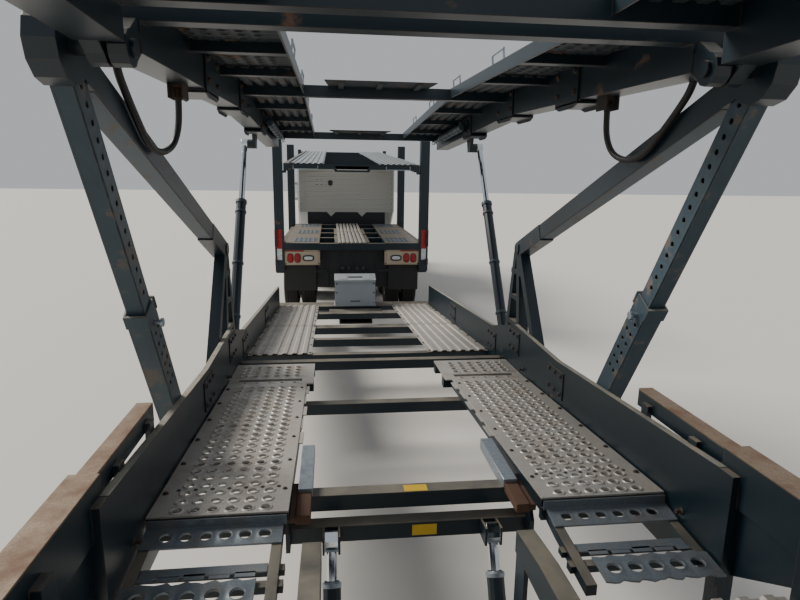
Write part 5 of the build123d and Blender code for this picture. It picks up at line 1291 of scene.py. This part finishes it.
# Hood and nose: grille surround, hood catches, headlamp trim and wheel arch lips
noseSetup = {
    "grilleSide": ((0.430, 0.460), (11.932, 11.962), (1.010, 1.600)), "bars": 4, "barPitch": 0.11,
    "grilleTop": ((-0.460, 0.460), (11.932, 11.966), (1.598, 1.618)),
    "lampTrim": [((0.640, 1.070), (11.932, 11.980), (1.000, 1.012)),
                 ((0.640, 1.070), (11.932, 11.980), (1.140, 1.154)),
                 ((0.640, 0.652), (11.932, 11.980), (1.00, 1.154)),
                 ((1.058, 1.070), (11.932, 11.980), (1.00, 1.154)),
                 ((0.652, 1.058), (11.970, 11.9765), (1.052, 1.057)),
                 ((0.652, 1.058), (11.970, 11.9765), (1.104, 1.109))],
    "lampCentres": (0.750, 0.960), "lampRing": [(0.0, 0.062), (0.003, 0.062), (0.003, 0.056), (0.0, 0.056)],
    "hoodCatch": ((0.905, 0.925), (10.06, 10.10), (1.40, 1.56)),
    "arch": {"middle": (10.9, 0.5), "radius": 0.598, "steps": 16, "above": 1.0},
}


def buildNose(setup):
    bright, trim = bmesh.new(), bmesh.new()
    arch = setup["arch"]
    (y, z), radius = arch["middle"], arch["radius"]
    turns = [math.radians(18 + 144 * k / arch["steps"]) for k in range(arch["steps"] + 1)]
    lip = [(y + radius * math.cos(turn), z + radius * math.sin(turn)) for turn in turns]
    lip = [spot for spot in lip if spot[1] > arch["above"]]
    for side in (-1, 1):
        addBoxes(bright, [setup["grilleSide"]], side)
        addBoxes(trim, setup["lampTrim"] + [setup["hoodCatch"]], side)
        for x in setup["lampCentres"]:
            addLathe(bright, (side * x, 11.974, 1.078), (0, 1, 0), setup["lampRing"], 28, ringed=True)
        for start, end in zip(lip, lip[1:]):
            addBar(trim, start, end, 0.014, (1.150, 1.186), side, 0.004)
    addBoxes(bright, [setup["grilleTop"]] + [
        ((-0.425, 0.425), (11.951, 11.957), (1.15 + setup["barPitch"] * k, 1.162 + setup["barPitch"] * k))
        for k in range(setup["bars"])])
    makePiece("grilleBrightwork", bright, "bumperChrome", "hood", bevel=0.001)
    makePiece("hoodTrim", trim, "trimPlastic", "hood")


buildNose(noseSetup)


# Fuel tanks: straps, caps and ribbed step treads
tankSetup = {
    "straps": (7.60, 8.15, 8.70), "strap": [(0.0, 0.3010), (0.0, 0.3045), (0.055, 0.3045), (0.055, 0.3010)],
    "cap": [(0.0, 0.050), (0.030, 0.050), (0.032, 0.058), (0.052, 0.058), (0.056, 0.050)],
    "treads": 9, "treadPitch": 0.072, "treadHeights": (0.460, 0.820),
}


def buildTanks(setup):
    straps, caps = bmesh.new(), bmesh.new()
    for side in (-1, 1):
        for y in setup["straps"]:
            addLathe(straps, (side * 0.880, y - 0.027, 0.640), (0, 1, 0), setup["strap"], 48, ringed=True)
        addLathe(caps, (side * 1.050, 7.95, 0.880), (side * 0.62, 0, 0.78), setup["cap"], 28)
        for z in setup["treadHeights"]:
            addBoxes(straps, [((0.905, 1.185), (9.095 + setup["treadPitch"] * k, 9.112 + setup["treadPitch"] * k),
                               (z, z + 0.006)) for k in range(setup["treads"])], side)
    makePiece("tankStraps", straps, "galvanised", "tractor")
    makePiece("tankCaps", caps, "bumperChrome", "tractor")


buildTanks(tankSetup)


# Rear end of the trailer: round lamps, a blank plate and hinge eyes for the ramps
tailSetup = {
    "panel": ((0.700, 1.180), (-12.180, -12.140), (0.700, 0.800)), "lampCentres": (0.78, 0.94, 1.10),
    "bezel": [(0.0, 0.046), (0.012, 0.046), (0.012, 0.040), (0.0, 0.040)],
    "lens": [(0.0, 0.040), (0.012, 0.040), (0.017, 0.030), (0.0205, 0.010)],
    "eyes": (0.60, 0.72, 0.98, 1.10), "plate": ((-0.155, 0.155), (-12.146, -12.1405), (0.705, 0.815)),
}


def buildTail(setup):
    lamps, bezels, eyes, plate = (bmesh.new() for _ in range(4))
    for side in (-1, 1):
        addBoxes(bezels, [setup["panel"]], side)
        for x in setup["lampCentres"]:
            addLathe(bezels, (side * x, -12.179, 0.750), (0, -1, 0), setup["bezel"], 28, ringed=True)
            addLathe(lamps, (side * x, -12.178, 0.750), (0, -1, 0), setup["lens"], 28)
        for x in setup["eyes"]:
            addLathe(eyes, (side * x, -12.030, 0.838), (side, 0, 0), [(0.0, 0.020), (0.050, 0.020)], 16)
    addBoxes(plate, [setup["plate"]])
    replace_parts(makePiece("tailLamps", lamps, "redAcrylic", "trailer", 50), "trailer_lamps")
    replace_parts(makePiece("tailBezels", bezels, "trimPlastic", "trailer"), "trailer_lamps")
    makePiece("rampEyes", eyes, "castIron", "trailer")
    makePiece("tailPlate", plate, "whiteReflector", "trailer")


buildTail(tailSetup)
print("cab, nose, tanks and tail done")


# Studio: a pale floor that fades into a pale surround, and soft light from above and behind
studio = {
    "floorHalf": 90, "floor": "#cfccc6",
    "surround": "#dfe3e8", "surroundStrength": 0.62,
    "sunStrength": 4.2, "sunColour": (1.0, 0.95, 0.88),
    "sunSoftness": 24,       # degrees across
    "sunFrom": (38, -58),    # height and bearing in degrees
}


def buildStudio(setup):
    half = setup["floorHalf"]
    sheet = bpy.data.meshes.new("studioFloor")
    sheet.from_pydata([(-half, -half, 0), (half, -half, 0), (half, half, 0), (-half, half, 0)], [], [(0, 1, 2, 3)])
    paper = startMaterial("studioPaper", **{"Base Color": fromHex(setup["floor"]), "Roughness": 0.9})[0]
    sheet.materials.append(paper)
    addToScene("studioFloor", sheet)
    surround = bpy.data.worlds.new("studioSurround")
    bpy.context.scene.world = surround
    surround.use_nodes = True
    feed(surround.node_tree, surround.node_tree.nodes["Background"], {
        "Color": fromHex(setup["surround"]), "Strength": setup["surroundStrength"]})
    lamp = bpy.data.lights.new("studioSun", "SUN")
    lamp.energy, lamp.color = setup["sunStrength"], setup["sunColour"]
    lamp.angle = math.radians(setup["sunSoftness"])
    height, bearing = (math.radians(angle) for angle in setup["sunFrom"])
    sky = Vector((math.sin(bearing) * math.cos(height), math.cos(bearing) * math.cos(height), math.sin(height)))
    addToScene("studioSun", lamp).rotation_euler = sky.to_track_quat("Z", "Y").to_euler()


buildStudio(studio)
print("studio lit")
